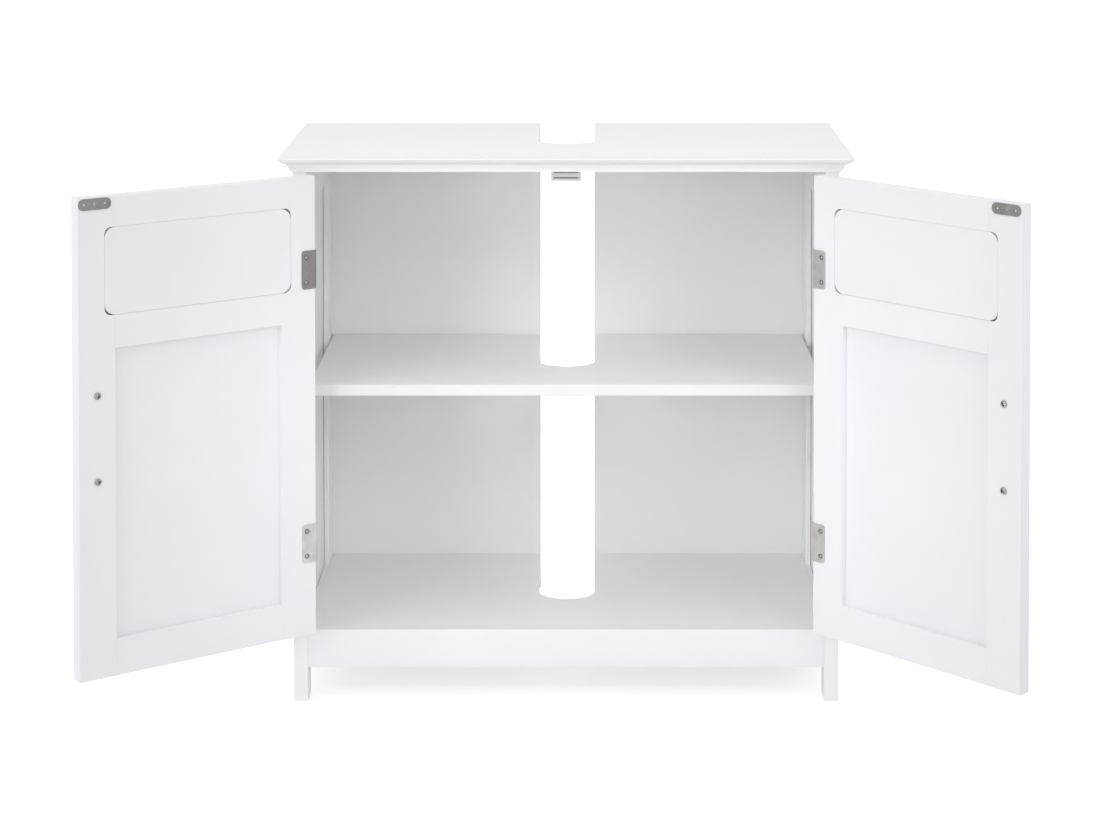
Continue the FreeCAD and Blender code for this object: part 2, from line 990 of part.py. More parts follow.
def handle():
    # A flat bar bent to a bow, whose two ends stand on the door and take the screws.
    half_bar = handle_bar_thickness / 2
    outer_bend = handle_inner_bend + handle_bar_thickness
    low, high = handle_screw_heights
    crest = front_face - handle_projection

    def bow(offset, bend, reach):
        z0 = low - offset
        z1 = high + offset
        cut_corner = bend * (1 - math.cos(math.pi / 4))
        return [
            Part.makeLine(point(0, front_face, z0), point(0, reach + bend, z0)),
            Part.Arc(
                point(0, reach + bend, z0),
                point(0, reach + cut_corner, z0 + cut_corner),
                point(0, reach, z0 + bend),
            ).toShape(),
            Part.makeLine(point(0, reach, z0 + bend), point(0, reach, z1 - bend)),
            Part.Arc(
                point(0, reach, z1 - bend),
                point(0, reach + cut_corner, z1 - cut_corner),
                point(0, reach + bend, z1),
            ).toShape(),
            Part.makeLine(point(0, reach + bend, z1), point(0, front_face, z1)),
        ]

    edges = bow(half_bar, outer_bend, crest)
    edges += bow(-half_bar, handle_inner_bend, crest + handle_bar_thickness)
    for z in handle_screw_heights:
        edges.append(
            Part.makeLine(point(0, front_face, z - half_bar), point(0, front_face, z + half_bar))
        )
    section = Part.Face(Part.Wire(Part.__sortEdges__(edges)))
    section.translate(point(handle_x - handle_bar_width / 2, 0, 0))
    bar = section.extrude(right * handle_bar_width)
    holes = []
    for z in handle_screw_heights:
        base = point(handle_x, front_face, z)
        holes.append(
            hole(handle_screw_radius, handle_screw_sides, handle_screw_grip, base, forward)
        )
    return cut_all(bar, holes)


def handle_screws():
    screws = []
    for z in handle_screw_heights:
        screws.append(
            pan_screw(
                handle_screw_head_radius,
                handle_screw_head_height,
                handle_screw_radius,
                handle_screw_radius,
                door_thickness + handle_screw_grip,
                handle_screw_sides,
                point(handle_x, closed_door_back, z),
                forward,
            )
        )
    return group(screws)


def hang(shape, side):
    # Put a door piece on its side of the cabinet and swing it to where the door stands.
    sign = 1 if side == "right" else -1
    angle = right_door_open if side == "right" else left_door_open
    placed = on_side(shape, side).copy()
    placed.rotate(point(sign * pivot_x, pivot_y, 0), up, sign * angle)
    return placed


# Write the pieces


def build_carcass():
    save("top_board", top_board())
    for side in ("left", "right"):
        save(side + "_front_post", on_side(front_post(), side))
        save(side + "_rear_post", on_side(rear_post(), side))
        save(side + "_top_rail", on_side(top_rail(), side))
        save(side + "_bottom_rail", on_side(bottom_rail(), side))
        save(side + "_side_panel", on_side(side_panel(), side))
        save(side + "_back_panel", on_side(back_panel(), side))
    save("floor_board", floor_board())
    save("front_apron", front_apron())
    save("shelf", shelf())
    save("shelf_supports", shelf_supports())
    save("locating_dowels", locating_dowels())
    save("back_panel_screws", back_panel_screws())


def build_catch():
    save("catch_housing", catch_housing())
    save("catch_magnet", catch_magnet())
    save("catch_pole_plates", catch_pole_plates())
    save("catch_screws", catch_screws())


def build_hinges(side):
    frame_leaves = [frame_leaf(z) for z in hinge_heights]
    door_leaves = [door_leaf(z) for z in hinge_heights]
    pins = [hinge_pin(z) for z in hinge_heights]
    frame_screws = frame_leaf_fixings(countersunk_screw)
    door_screws = door_leaf_fixings(countersunk_screw)
    save(side + "_hinge_frame_leaves", on_side(group(frame_leaves), side))
    save(side + "_hinge_frame_screws", on_side(group(frame_screws), side))
    save(side + "_hinge_pins", on_side(group(pins), side))
    save(side + "_hinge_door_leaves", hang(group(door_leaves), side))
    save(side + "_hinge_door_screws", hang(group(door_screws), side))


def build_door(side):
    pieces = {
        "hinge_stile": hinge_stile,
        "lock_stile": lock_stile,
        "top_rail": door_top_rail,
        "middle_rail": door_middle_rail,
        "bottom_rail": door_bottom_rail,
        "upper_panel": upper_panel,
        "lower_panel": lower_panel,
        "strike_plate": strike_plate,
        "strike_screw": strike_screw,
        "handle": handle,
        "handle_screws": handle_screws,
    }
    for name, make in pieces.items():
        save(side + "_door_" + name, hang(make(), side))


build_carcass()
build_catch()
for hung_side in ("left", "right"):
    build_hinges(hung_side)
    build_door(hung_side)
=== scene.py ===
import math
import random

import bmesh
import bpy
from mathutils import Matrix, Vector


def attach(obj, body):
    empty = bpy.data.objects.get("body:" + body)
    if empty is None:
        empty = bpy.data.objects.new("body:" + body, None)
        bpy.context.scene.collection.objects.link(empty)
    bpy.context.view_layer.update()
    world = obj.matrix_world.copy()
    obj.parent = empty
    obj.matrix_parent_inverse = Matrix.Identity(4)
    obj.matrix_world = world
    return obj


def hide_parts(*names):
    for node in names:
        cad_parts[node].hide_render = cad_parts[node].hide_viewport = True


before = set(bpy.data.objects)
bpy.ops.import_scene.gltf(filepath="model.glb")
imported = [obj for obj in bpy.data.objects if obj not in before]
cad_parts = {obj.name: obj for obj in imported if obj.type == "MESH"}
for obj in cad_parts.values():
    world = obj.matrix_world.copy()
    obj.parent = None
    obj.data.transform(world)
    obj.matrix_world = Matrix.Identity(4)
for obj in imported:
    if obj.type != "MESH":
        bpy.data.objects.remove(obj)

# White two-door washbasin cabinet with a pipe slot, doors standing open.
# Everything is drawn in millimetres for the right-hand side with the door closed,
# then mirrored, swung open and scaled to metres.

print("frame loaded:", len(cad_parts), "solids")
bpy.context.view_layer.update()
mm = 0.001
dice = random.Random(7)
sides = ("left", "right")

cabinet = {
    "halfTop": 300.0,
    "topDepth": 300.0,
    "height": 572.0,
    "underside": 557.0,
    "postInner": 270.0,
    "postOuter": 285.0,
    "frontFace": -285.0,
    "panelBack": -3.0,
    "legHeight": 36.0,
    "slotHalf": 31.0,
    "slotDepth": 180.0,
    "roundOver": 0.9,  # softened arris of a painted board
}

doors = {
    "leftOpen": 144.2,
    "rightOpen": 133.5,
    "pivotX": 268.8,
    "pivotY": -287.9,
    "edgeX": 267.6,
    "width": 266.6,
    "thickness": 15.0,
    "bottom": 78.0,
    "top": 555.0,
    "stile": 40.0,
    "lowerOpening": (115.0, 404.0),
    "upperOpening": (448.5, 513.0),
    "recess": 6.0,
    "panelThickness": 3.0,
}


# Shapes


def insetOutline(points, reaches):
    # Moves every edge inwards by its own reach; the outline runs anticlockwise.
    count = len(points)
    lines = []
    for index in range(count):
        a = Vector(points[index])
        b = Vector(points[(index + 1) % count])
        run = (b - a).normalized()
        lines.append((a + Vector((-run.y, run.x)) * reaches[index], run))
    moved = []
    for index in range(count):
        (a, u), (b, v) = lines[index - 1], lines[index]
        turn = u.x * v.y - u.y * v.x
        if abs(turn) < 1e-4:
            moved.append(b.copy())
        else:
            gap = b - a
            moved.append(a + u * ((gap.x * v.y - gap.y * v.x) / turn))
    return moved


def roundCorners(points, radii, steps=6):
    # Replaces each corner by an arc of its own radius.
    made = []
    count = len(points)
    for index in range(count):
        corner = Vector(points[index])
        radius = radii[index]
        before = (Vector(points[index - 1]) - corner).normalized()
        after = (Vector(points[(index + 1) % count]) - corner).normalized()
        if radius <= 0:
            made.append(corner)
            continue
        half = before.angle(after) / 2
        centre = corner + (before + after).normalized() * radius / math.sin(half)
        start = corner + before * radius / math.tan(half) - centre
        end = corner + after * radius / math.tan(half) - centre
        sweep = start.angle_signed(end)
        for step in range(steps + 1):
            turned = start.copy()
            turned.rotate(Matrix.Rotation(-sweep * step / steps, 2))
            made.append(centre + turned)
    return made


def rectangle(x0, y0, x1, y1, radii, steps=6):
    radii = radii if isinstance(radii, list) else [radii] * 4
    return roundCorners([(x0, y0), (x1, y0), (x1, y1), (x0, y1)], radii, steps)


def arc(centre, radius, fromAngle, toAngle, steps):
    made = []
    for step in range(steps + 1):
        angle = math.radians(fromAngle + (toAngle - fromAngle) * step / steps)
        made.append((centre[0] + radius * math.cos(angle), centre[1] + radius * math.sin(angle)))
    return made


def stackRings(form, rings):
    made = [[form.verts.new(place) for place in ring] for ring in rings]
    for lower, upper in zip(made, made[1:]):
        for index in range(len(lower)):
            after = (index + 1) % len(lower)
            form.faces.new((lower[index], lower[after], upper[after], upper[index]))
    form.faces.new(list(reversed(made[0])))
    form.faces.new(made[-1])


def laid(u, v, w, axis):
    return {"x": (w, u, v), "y": (u, w, v), "z": (u, v, w)}[axis]


def slab(points, low, high, roll=0.0, steps=3, axis="z", rollLow=True, rollHigh=True):
    # A sheet of one outline from low to high along an axis, its arrises rolled over.
    form = bmesh.new()
    stations = []
    for step in range(steps + 1):
        angle = math.pi / 2 * step / steps
        stations.append((roll * (1 - math.sin(angle)), roll * (1 - math.cos(angle))))
    lower = upper = None
    if rollLow and roll:
        lower = [(reach, low + rise) for reach, rise in stations]
    if rollHigh and roll:
        upper = [(reach, high - rise) for reach, rise in stations]
    lower, upper = lower or [(0, low)], upper or [(0, high)]
    rings = []
    for reach, level in lower + upper[::-1]:
        ring = insetOutline(points, [reach] * len(points))
        rings.append([laid(p.x, p.y, level, axis) for p in ring])
    stackRings(form, rings)
    return form


def easedBox(low, high, roll, along="xyz", steps=3):
    form = bmesh.new()
    bmesh.ops.create_cube(form, size=1.0)
    for vert in form.verts:
        for axis in range(3):
            vert.co[axis] = low[axis] if vert.co[axis] < 0 else high[axis]
    if roll > 0:
        chosen = []
        for edge in form.edges:
            run = edge.verts[0].co - edge.verts[1].co
            lead = max(range(3), key=lambda k: abs(run[k]))
            if "xyz"[lead] in along:
                chosen.append(edge)
        bmesh.ops.bevel(
            form, geom=chosen, offset=roll, segments=steps, profile=0.5, affect="EDGES"
        )
    return form


def standing(base, direction):
    # Turns +Z to the direction and moves it to the base.
    turn = Vector(direction).to_track_quat("Z", "Y")
    return Matrix.Translation(Vector(base)) @ turn.to_matrix().to_4x4()


def turned(profile, facets, base, direction):
    # Revolves (distance along, radius) points about a line through the base.
    form = bmesh.new()
    place = standing(base, direction)
    rings = []
    for along, radius in profile:
        if radius <= 0:
            rings.append([form.verts.new(place @ Vector((0, 0, along)))])
            continue
        ring = []
        for index in range(facets):
            angle = 2 * math.pi * index / facets
            spot = Vector((radius * math.cos(angle), radius * math.sin(angle), along))
            ring.append(form.verts.new(place @ spot))
        rings.append(ring)
    for lower, upper in zip(rings, rings[1:]):
        for index in range(facets):
            after = (index + 1) % facets
            corners = []
            for one in (lower[index % len(lower)], lower[after % len(lower)],
                        upper[after % len(upper)], upper[index % len(upper)]):
                if one not in corners:
                    corners.append(one)
            if len(corners) > 2:
                form.faces.new(corners)
    return form


def cylinder(radius, length, base, direction):
    return turned([(0, 0), (0, radius), (length, radius), (length, 0)], 32, base, direction)


def meshFrom(name, form):
    mesh = bpy.data.meshes.new(name)
    form.to_mesh(mesh)
    form.free()
    return mesh


def addObject(name, data):
    made = bpy.data.objects.new(name, data)
    bpy.context.scene.collection.objects.link(made)
    return made


def move(form, matrix):
    bmesh.ops.transform(form, matrix=matrix, verts=form.verts)


def mirror(form):
    move(form, Matrix.Scale(-1, 4, (1, 0, 0)))
    bmesh.ops.reverse_faces(form, faces=form.faces[:])


def joined(forms):
    whole = bmesh.new()
    for form in forms:
        mesh = meshFrom("passing", form)
        whole.from_mesh(mesh)
        bpy.data.meshes.remove(mesh)
    return whole


def bySolid(form, tool, operation):
    made = []
    for one in (form, tool):
        bmesh.ops.recalc_face_normals(one, faces=one.faces[:])
        made.append(addObject("passing", meshFrom("passing", one)))
    change = made[0].modifiers.new("change", "BOOLEAN")
    change.operation = operation
    change.solver = "EXACT"
    change.object = made[1]
    shown = made[0].evaluated_get(bpy.context.evaluated_depsgraph_get())
    mesh = bpy.data.meshes.new_from_object(shown)
    result = bmesh.new()
    result.from_mesh(mesh)
    bpy.data.meshes.remove(mesh)
    for holder in made:
        old = holder.data
        bpy.data.objects.remove(holder)
        bpy.data.meshes.remove(old)
    return result


def cut(form, *tools):
    return bySolid(form, joined(tools), "DIFFERENCE")


def fused(form, *others):
    for other in others:
        form = bySolid(form, other, "UNION")
    return form


def sendTo(form, side, onDoor=False):
    if side == "left":
        mirror(form)
    if onDoor:
        sign = 1 if side == "right" else -1
        pivot = Vector((sign * doors["pivotX"], doors["pivotY"], 0))
        swing = Matrix.Rotation(math.radians(sign * doors[side + "Open"]), 4, "Z")
        move(form, Matrix.Translation(pivot) @ swing @ Matrix.Translation(-pivot))
    return form


finishes = {}


def finishPiece(name, form, finish, body, *nodes, crease=32):
    bmesh.ops.recalc_face_normals(form, faces=form.faces[:])
    move(form, Matrix.Scale(mm, 4))
    mesh = meshFrom(name, form)
    mesh.shade_smooth()
    mesh.set_sharp_from_angle(angle=math.radians(crease))
    mesh.materials.append(finishes[finish])
    piece = addObject(name, mesh)
    even = piece.modifiers.new("even_shading", "WEIGHTED_NORMAL")
    even.keep_sharp = True
    even.weight = 100
    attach(piece, body)
    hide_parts(*nodes)
    return piece


def carcassPiece(side, label, form, finish, node):
    finishPiece(side + "_" + label, sendTo(form, side), finish, "carcass", side + "_" + node)


def doorPiece(side, label, form, finish, node):
    body = side + "_door"
    finishPiece(side + "_" + label, sendTo(form, side, True), finish, body, side + "_" + node)


def repaint(name, finish):
    # Gives a solid of the frame its finish.
    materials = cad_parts[name].data.materials
    materials.clear()
    materials.append(finishes[finish])


# Shader nodes


def setSocket(tree, socket, value):
    # The value is a number, a tuple or the output of another node.
    if isinstance(value, bpy.types.NodeSocket):
        tree.links.new(value, socket)
    else:
        socket.default_value = value


def addNode(tree, kind, settings=None, **values):
    node = tree.nodes.new(kind)
    for key, value in (settings or {}).items():
        setattr(node, key, value)
    for key, value in values.items():
        setSocket(tree, node.inputs[key.replace("_", " ")], value)
    return node


def sums(tree, operation, *values, clamp=False):
    node = addNode(tree, "ShaderNodeMath", {"operation": operation, "use_clamp": clamp})
    for socket, value in zip(node.inputs, values):
        setSocket(tree, socket, value)
    return node.outputs[0]


def vectors(tree, operation, *values):
    node = addNode(tree, "ShaderNodeVectorMath", {"operation": operation})
    for socket, value in zip(node.inputs, values):
        setSocket(tree, socket, value)
    return node


def spread(tree, value, low, high, fromLow=0.3, fromHigh=0.7):
    node = addNode(tree, "ShaderNodeMapRange", Value=value, From_Min=fromLow,
                   From_Max=fromHigh, To_Min=low, To_Max=high)
    return node.outputs["Result"]


def placeIn(tree):
    return addNode(tree, "ShaderNodeTexCoord").outputs["Object"]


def noise(tree, place, scale, detail, roughness=0.5):
    node = addNode(tree, "ShaderNodeTexNoise", Vector=place, Scale=scale, Detail=detail,
                   Roughness=roughness)
    return node.outputs["Fac"]


def blendColours(tree, mask, a, b):
    node = addNode(tree, "ShaderNodeMix", {"data_type": "RGBA"}, Factor=mask)
    for label, value in (("A", a), ("B", b)):
        value = (*value, 1.0) if isinstance(value, tuple) else value
        setSocket(tree, node.inputs[label], value)
    return node.outputs["Result"]


# Shared shader groups


def startGroup(name, inputs, outputs):
    group = bpy.data.node_groups.new(name, "ShaderNodeTree")
    for label, value in inputs.items():
        kind = "NodeSocketVector" if isinstance(value, tuple) else "NodeSocketFloat"
        socket = group.interface.new_socket(name=label, in_out="INPUT", socket_type=kind)
        socket.default_value = value
    for label in outputs:
        group.interface.new_socket(name=label, in_out="OUTPUT", socket_type="NodeSocketFloat")
    return group, group.nodes.new("NodeGroupInput"), group.nodes.new("NodeGroupOutput")


def giveOut(group, result, **values):
    for label, value in values.items():
        setSocket(group, result.inputs[label], value)
    return group


def makeFilmGroup():
    # Sprayed paint: slow clouding of the white, and the fine pebbled skin of the film.
    group, given, result = startGroup(
        "paint film", {"Cloud Scale": 6.0, "Peel Scale": 900.0, "Fibre Scale": 2600.0},
        ("Clouds", "Peel"),
    )
    place = placeIn(group)
    clouds = noise(group, place, given.outputs["Cloud Scale"], 5.0, 0.6)
    peel = noise(group, place, given.outputs["Peel Scale"], 1.5, 0.45)
    fibre = noise(group, place, given.outputs["Fibre Scale"], 2.0, 0.6)
    skin = sums(group, "MULTIPLY_ADD", fibre, 0.25, peel)
    return giveOut(group, result, Clouds=clouds, Peel=skin)


def makeEdgeGroup():
    # Rubbed arrises: found from the rounded normal near an edge, broken up by noise.
    group, given, result = startGroup(
        "rubbed edges", {"Width": 0.0012, "Break Up": 140.0, "Amount": 1.0}, ("Mask",)
    )
    soft = addNode(group, "ShaderNodeBevel", {"samples": 6}, Radius=given.outputs["Width"])
    flat = addNode(group, "ShaderNodeNewGeometry").outputs["Normal"]
    meet = vectors(group, "DOT_PRODUCT", soft.outputs["Normal"], flat).outputs["Value"]
    bend = sums(group, "SUBTRACT", 1.0, meet, clamp=True)
    bend = sums(group, "MULTIPLY", bend, 9.0, clamp=True)
    broken = noise(group, placeIn(group), given.outputs["Break Up"], 6.0, 0.7)
    mask = sums(group, "MULTIPLY", bend, spread(group, broken, 0.0, 1.0, 0.45, 0.68))
    mask = sums(group, "MULTIPLY", mask, given.outputs["Amount"], clamp=True)
    return giveOut(group, result, Mask=mask)


def makeDustGroup():
    # Fine dust on what faces up, thicker in drifts.
    group, given, result = startGroup(
        "settled dust", {"Scale": 14.0, "Amount": 0.3}, ("Mask",)
    )
    place = placeIn(group)
    facing = addNode(group, "ShaderNodeNewGeometry").outputs["Normal"]
    upward = addNode(group, "ShaderNodeSeparateXYZ", Vector=facing).outputs["Z"]
    drift = noise(group, place, given.outputs["Scale"], 7.0, 0.65)
    both = sums(group, "MULTIPLY", drift, noise(group, place, 1400.0, 1.0))
    both = sums(group, "MULTIPLY", both, 2.2, clamp=True)
    mask = sums(group, "MULTIPLY", both, spread(group, upward, 0.0, 1.0, 0.7, 0.98))
    mask = sums(group, "MULTIPLY", mask, given.outputs["Amount"], clamp=True)
    return giveOut(group, result, Mask=mask)


def makeMetalGroup():
    # Drawn or tumbled metal: fine streaks one way, blotches in the plating and hair scratches.
    group, given, result = startGroup(
        "metal skin",
        {"Stretch": (60.0, 60.0, 2600.0), "Blotch Scale": 90.0, "Scratch Scale": 260.0},
        ("Streaks", "Blotches", "Scratches"),
    )
    place = placeIn(group)
    drawn = vectors(group, "MULTIPLY", place, given.outputs["Stretch"]).outputs["Vector"]
    streaks = noise(group, drawn, 1.0, 3.0, 0.6)
    blotches = noise(group, place, given.outputs["Blotch Scale"], 4.0, 0.55)
    warp = addNode(group, "ShaderNodeTexNoise", Vector=place, Scale=35.0, Detail=2.0)
    shifted = vectors(group, "MULTIPLY_ADD", warp.outputs["Color"], (0.02, 0.02, 0.02), place)
    lines = addNode(
        group, "ShaderNodeTexVoronoi", {"feature": "DISTANCE_TO_EDGE"},
        Vector=shifted.outputs["Vector"], Scale=given.outputs["Scratch Scale"], Randomness=1.0,
    )
    thin = spread(group, lines.outputs["Distance"], 1.0, 0.0, 0.0, 0.02)
    return giveOut(group, result, Streaks=streaks, Blotches=blotches, Scratches=thin)


filmGroup = makeFilmGroup()
edgeGroup = makeEdgeGroup()
dustGroup = makeDustGroup()
metalGroup = makeMetalGroup()


# Materials


def addGroup(tree, group, **values):
    return addNode(tree, "ShaderNodeGroup", {"node_tree": group}, **values)


def startMaterial(name):
    material = bpy.data.materials.new(name)
    material.use_nodes = True
    tree = material.node_tree
    return material, tree, tree.nodes["Principled BSDF"]


def dress(tree, shader, tint, gloss, height, strength, distance):
    bump = addNode(tree, "ShaderNodeBump", Strength=strength, Distance=distance, Height=height)
    given = {"Base Color": tint, "Roughness": gloss, "Normal": bump.outputs["Normal"]}
    for label, value in given.items():
        setSocket(tree, shader.inputs[label], value)


worn = {"rubbed": (0.80, 0.79, 0.78), "dust": (0.82, 0.81, 0.80)}  # tints that wear gives to paint

boardSkin = {"rough": (0.36, 0.46), "peel": (850.0, 0.16), "wear": 0.55}
panelSkin = {"rough": (0.46, 0.58), "peel": (1300.0, 0.24), "wear": 0.35}
paints = {
    "painted_board": {  # the carcass
        "name": "white lacquer on board", "colour": (0.893, 0.896, 0.90),
        "deep": (0.866, 0.869, 0.873), **boardSkin,
    },
    "painted_panel": {
        "name": "white paint on thin panel", "colour": (0.885, 0.889, 0.893),
        "deep": (0.855, 0.859, 0.863), **panelSkin,
    },
    "shelf_front_shade": {  # the shelf's front edge, darkened as painted shade against the light that falls on it
        "name": "white lacquer darkened as painted shade", "colour": (0.785, 0.785, 0.791),
        "deep": (0.76, 0.76, 0.766), **panelSkin,
    },
    # The doors' own cooler white, made darker than the carcass white as painted shade on the door
    # fronts.
    "cool_board_with_painted_shade": {
        "name": "white lacquer on door frame", "colour": (0.863, 0.859, 0.897),
        "deep": (0.836, 0.832, 0.872), **boardSkin,
    },
    # The door panels' cooler white, darker in the same way as painted shade.
    "cool_panel_with_painted_shade": {
        "name": "white paint on door panel", "colour": (0.857, 0.853, 0.893),
        "deep": (0.827, 0.823, 0.866), **panelSkin,
    },
}

screwSkin = {"rough": (0.22, 0.36), "stretch": (900.0, 900.0, 900.0), "bump": 0.2,
             "edge": (0.85, 0.85, 0.85), "wear": 0.8}
metals = {
    "hinge_steel": {
        "name": "plated hinge steel", "colour": (0.56, 0.55, 0.54), "deep": (0.46, 0.45, 0.44),
        "rough": (0.26, 0.42), "stretch": (300.0, 300.0, 1800.0), "bump": 0.25,
        "edge": (0.74, 0.73, 0.72), "wear": 0.6,
        # the upper left hinge is drawn darker round one place
        "patch": {"place": (-0.27, -0.28, 0.4585), "near": 0.05, "far": 0.09,
                  "tint": (0.24, 0.225, 0.215)},
    },
    "strike_steel": {
        "name": "plain strike steel", "colour": (0.27, 0.262, 0.252),
        "deep": (0.21, 0.203, 0.196), "rough": (0.34, 0.52), "stretch": (500.0, 500.0, 1400.0),
        "bump": 0.3, "edge": (0.46, 0.45, 0.44), "wear": 0.7,
    },
    "screw_steel": {
        "name": "zinc plated screw", "colour": (0.40, 0.40, 0.40), "deep": (0.28, 0.28, 0.29),
        **screwSkin,
    },
    # Hinge screws: the screw steel darkened as painted shade, for the shade in their recesses and
    # rings.
    "shaded_screw_steel": {
        "name": "screw steel darkened as painted shade", "colour": (0.19, 0.19, 0.19), "deep": (0.13, 0.13, 0.13),
        **screwSkin,
    },
    "handle_metal": {
        "name": "brushed nickel bar", "colour": (0.60, 0.585, 0.565),
        "deep": (0.52, 0.505, 0.485), "rough": (0.24, 0.40), "stretch": (2600.0, 2600.0, 90.0),
        "bump": 0.3, "edge": (0.78, 0.77, 0.75), "wear": 0.4,
    },
    "support_steel": {
        "name": "zinc plated support", "colour": (0.55, 0.55, 0.56), "deep": (0.44, 0.44, 0.46),
        "rough": (0.3, 0.46), "stretch": (700.0, 700.0, 1200.0), "bump": 0.25,
        "edge": (0.75, 0.75, 0.76), "wear": 0.6,
    },
    "pole_steel": {
        "name": "dark pole steel", "colour": (0.22, 0.22, 0.225), "deep": (0.14, 0.14, 0.145),
        "rough": (0.35, 0.55), "stretch": (2000.0, 300.0, 300.0), "bump": 0.3,
        "edge": (0.5, 0.5, 0.5), "wear": 0.7,
    },
}


def paintMaterial(name, colour, deep, rough, peel, wear):
    material, tree, shader = startMaterial(name)
    film = addGroup(tree, filmGroup, Cloud_Scale=7.0, Peel_Scale=peel[0], Fibre_Scale=3000.0)
    edge = addGroup(tree, edgeGroup, Width=0.0011, Break_Up=170.0, Amount=wear)
    dust = addGroup(tree, dustGroup, Scale=11.0, Amount=0.16).outputs["Mask"]
    clouds = film.outputs["Clouds"]
    tint = blendColours(tree, spread(tree, clouds, 0.0, 1.0), colour, deep)
    tint = blendColours(tree, edge.outputs["Mask"], tint, worn["rubbed"])
    tint = blendColours(tree, dust, tint, worn["dust"])
    gloss = sums(tree, "ADD", spread(tree, clouds, rough[1], rough[0]), dust)
    dress(tree, shader, tint, gloss, film.outputs["Peel"], peel[1], 0.00025)
    return material


def darkerPatch(tree, tint, patch):
    # Darker round one place, fading out with distance.
    apart = vectors(tree, "DISTANCE", placeIn(tree), patch["place"]).outputs["Value"]
    near = spread(tree, apart, 1.0, 0.0, patch["near"], patch["far"])
    return blendColours(tree, near, tint, patch["tint"])


def metalMaterial(name, colour, deep, rough, stretch, bump, edge, wear, patch=None):
    material, tree, shader = startMaterial(name)
    skin = addGroup(tree, metalGroup, Stretch=stretch, Blotch_Scale=110.0, Scratch_Scale=240.0)
    rubbed = addGroup(tree, edgeGroup, Width=0.0005, Break_Up=500.0, Amount=wear)
    shader.inputs["Metallic"].default_value = 1.0
    blotches, scratches = skin.outputs["Blotches"], skin.outputs["Scratches"]
    streaks = skin.outputs["Streaks"]
    tint = blendColours(tree, spread(tree, blotches, 0.0, 1.0), colour, deep)
    if patch:
        tint = darkerPatch(tree, tint, patch)
    tint = blendColours(tree, rubbed.outputs["Mask"], tint, edge)
    tint = blendColours(tree, sums(tree, "MULTIPLY", scratches, 0.25), tint, edge)
    gloss = spread(tree, streaks, rough[0], rough[1])
    gloss = sums(tree, "MULTIPLY_ADD", blotches, 0.08, gloss)
    height = sums(tree, "MULTIPLY_ADD", scratches, -0.5, streaks)
    dress(tree, shader, tint, gloss, height, bump, 0.00004)
    return material


def plasticMaterial(name, colour, deep, edge):
    # Moulded plastic with a fine spark-eroded texture.
    material, tree, shader = startMaterial(name)
    film = addGroup(tree, filmGroup, Cloud_Scale=60.0, Peel_Scale=4200.0, Fibre_Scale=9000.0)
    rubbed = addGroup(tree, edgeGroup, Width=0.0004, Break_Up=700.0, Amount=0.5)
    tint = blendColours(tree, spread(tree, film.outputs["Clouds"], 0.0, 1.0), colour, deep)
    tint = blendColours(tree, rubbed.outputs["Mask"], tint, edge)
    peel = film.outputs["Peel"]
    dress(tree, shader, tint, spread(tree, peel, 0.38, 0.55), peel, 0.18, 0.00008)
    return material


def ferriteMaterial(name, colour, light):
    # Pressed ferrite: dark grains with a dull sparkle.
    material, tree, shader = startMaterial(name)
    grains = addNode(tree, "ShaderNodeTexVoronoi", Vector=placeIn(tree), Scale=5200.0)
    depth = grains.outputs["Distance"]
    tint = blendColours(tree, depth, colour, light)
    dress(tree, shader, tint, spread(tree, depth, 0.45, 0.7, 0.0, 0.8), depth, 0.4, 0.00008)
    return material


def beechMaterial(name, colour, deep, fleckColour):
    # Turned beech: fine grain along each peg with short darker flecks.
    material, tree, shader = startMaterial(name)
    place = placeIn(tree)
    grain = addNode(tree, "ShaderNodeTexNoise", Vector=place, Scale=240.0, Detail=6.0,
                    Roughness=0.65, Distortion=0.6).outputs["Fac"]
    flecks = spread(tree, noise(tree, place, 1500.0, 2.0), 0.0, 0.7, 0.58, 0.72)
    tint = blendColours(tree, spread(tree, grain, 0.0, 1.0), colour, deep)
    tint = blendColours(tree, flecks, tint, fleckColour)
    dress(tree, shader, tint, spread(tree, grain, 0.6, 0.8), grain, 0.3, 0.0001)
    return material


for slot, values in paints.items():
    finishes[slot] = paintMaterial(**values)
for slot, values in metals.items():
    finishes[slot] = metalMaterial(**values)
finishes["bare_wood"] = beechMaterial(
    "beech pegs", (0.62, 0.43, 0.26), (0.45, 0.28, 0.15), (0.30, 0.17, 0.09)
)
finishes["catch_plastic"] = plasticMaterial(
    "light grey moulded plastic", (0.72, 0.72, 0.72), (0.66, 0.66, 0.67), (0.86, 0.86, 0.86)
)
finishes["magnet_ferrite"] = ferriteMaterial(
    "dark pressed ferrite", (0.035, 0.034, 0.036), (0.10, 0.10, 0.105)
)
print("finishes made:", len(finishes))


# Boards of the carcass

topEdge = {
    "arris": 0.8,
    "noseReach": 7.4,
    "noseHeight": 6.3,
    "noseBulge": 0.65,
    "quirk": 0.8,
    "coveReach": 4.2,
    "coveHollow": 0.4,
    "coveFillet": 1.4,
    "steps": 8,
    "backRoll": 0.6,
}


def slottedOutline(halfWidth, front, back, slotSteps=28):
    half = cabinet["slotHalf"]
    centre = -cabinet["slotDepth"] + half
    bend = arc((0, centre), half, 0, -180, slotSteps)
    return [(-halfWidth, front), (halfWidth, front), (halfWidth, back), (half, back)] + bend + [
        (-half, back), (-halfWidth, back)
    ]


def bowed(start, end, bulge, steps):
    # A shallow curve between two points, bulging to the right of the way it runs.
    a, b = Vector(start), Vector(end)
    side = Vector((b.y - a.y, a.x - b.x)).normalized()
    made = []
    for step in range(steps + 1):
        share = step / steps
        made.append(tuple(a.lerp(b, share) + side * 4 * bulge * share * (1 - share)))
    return made


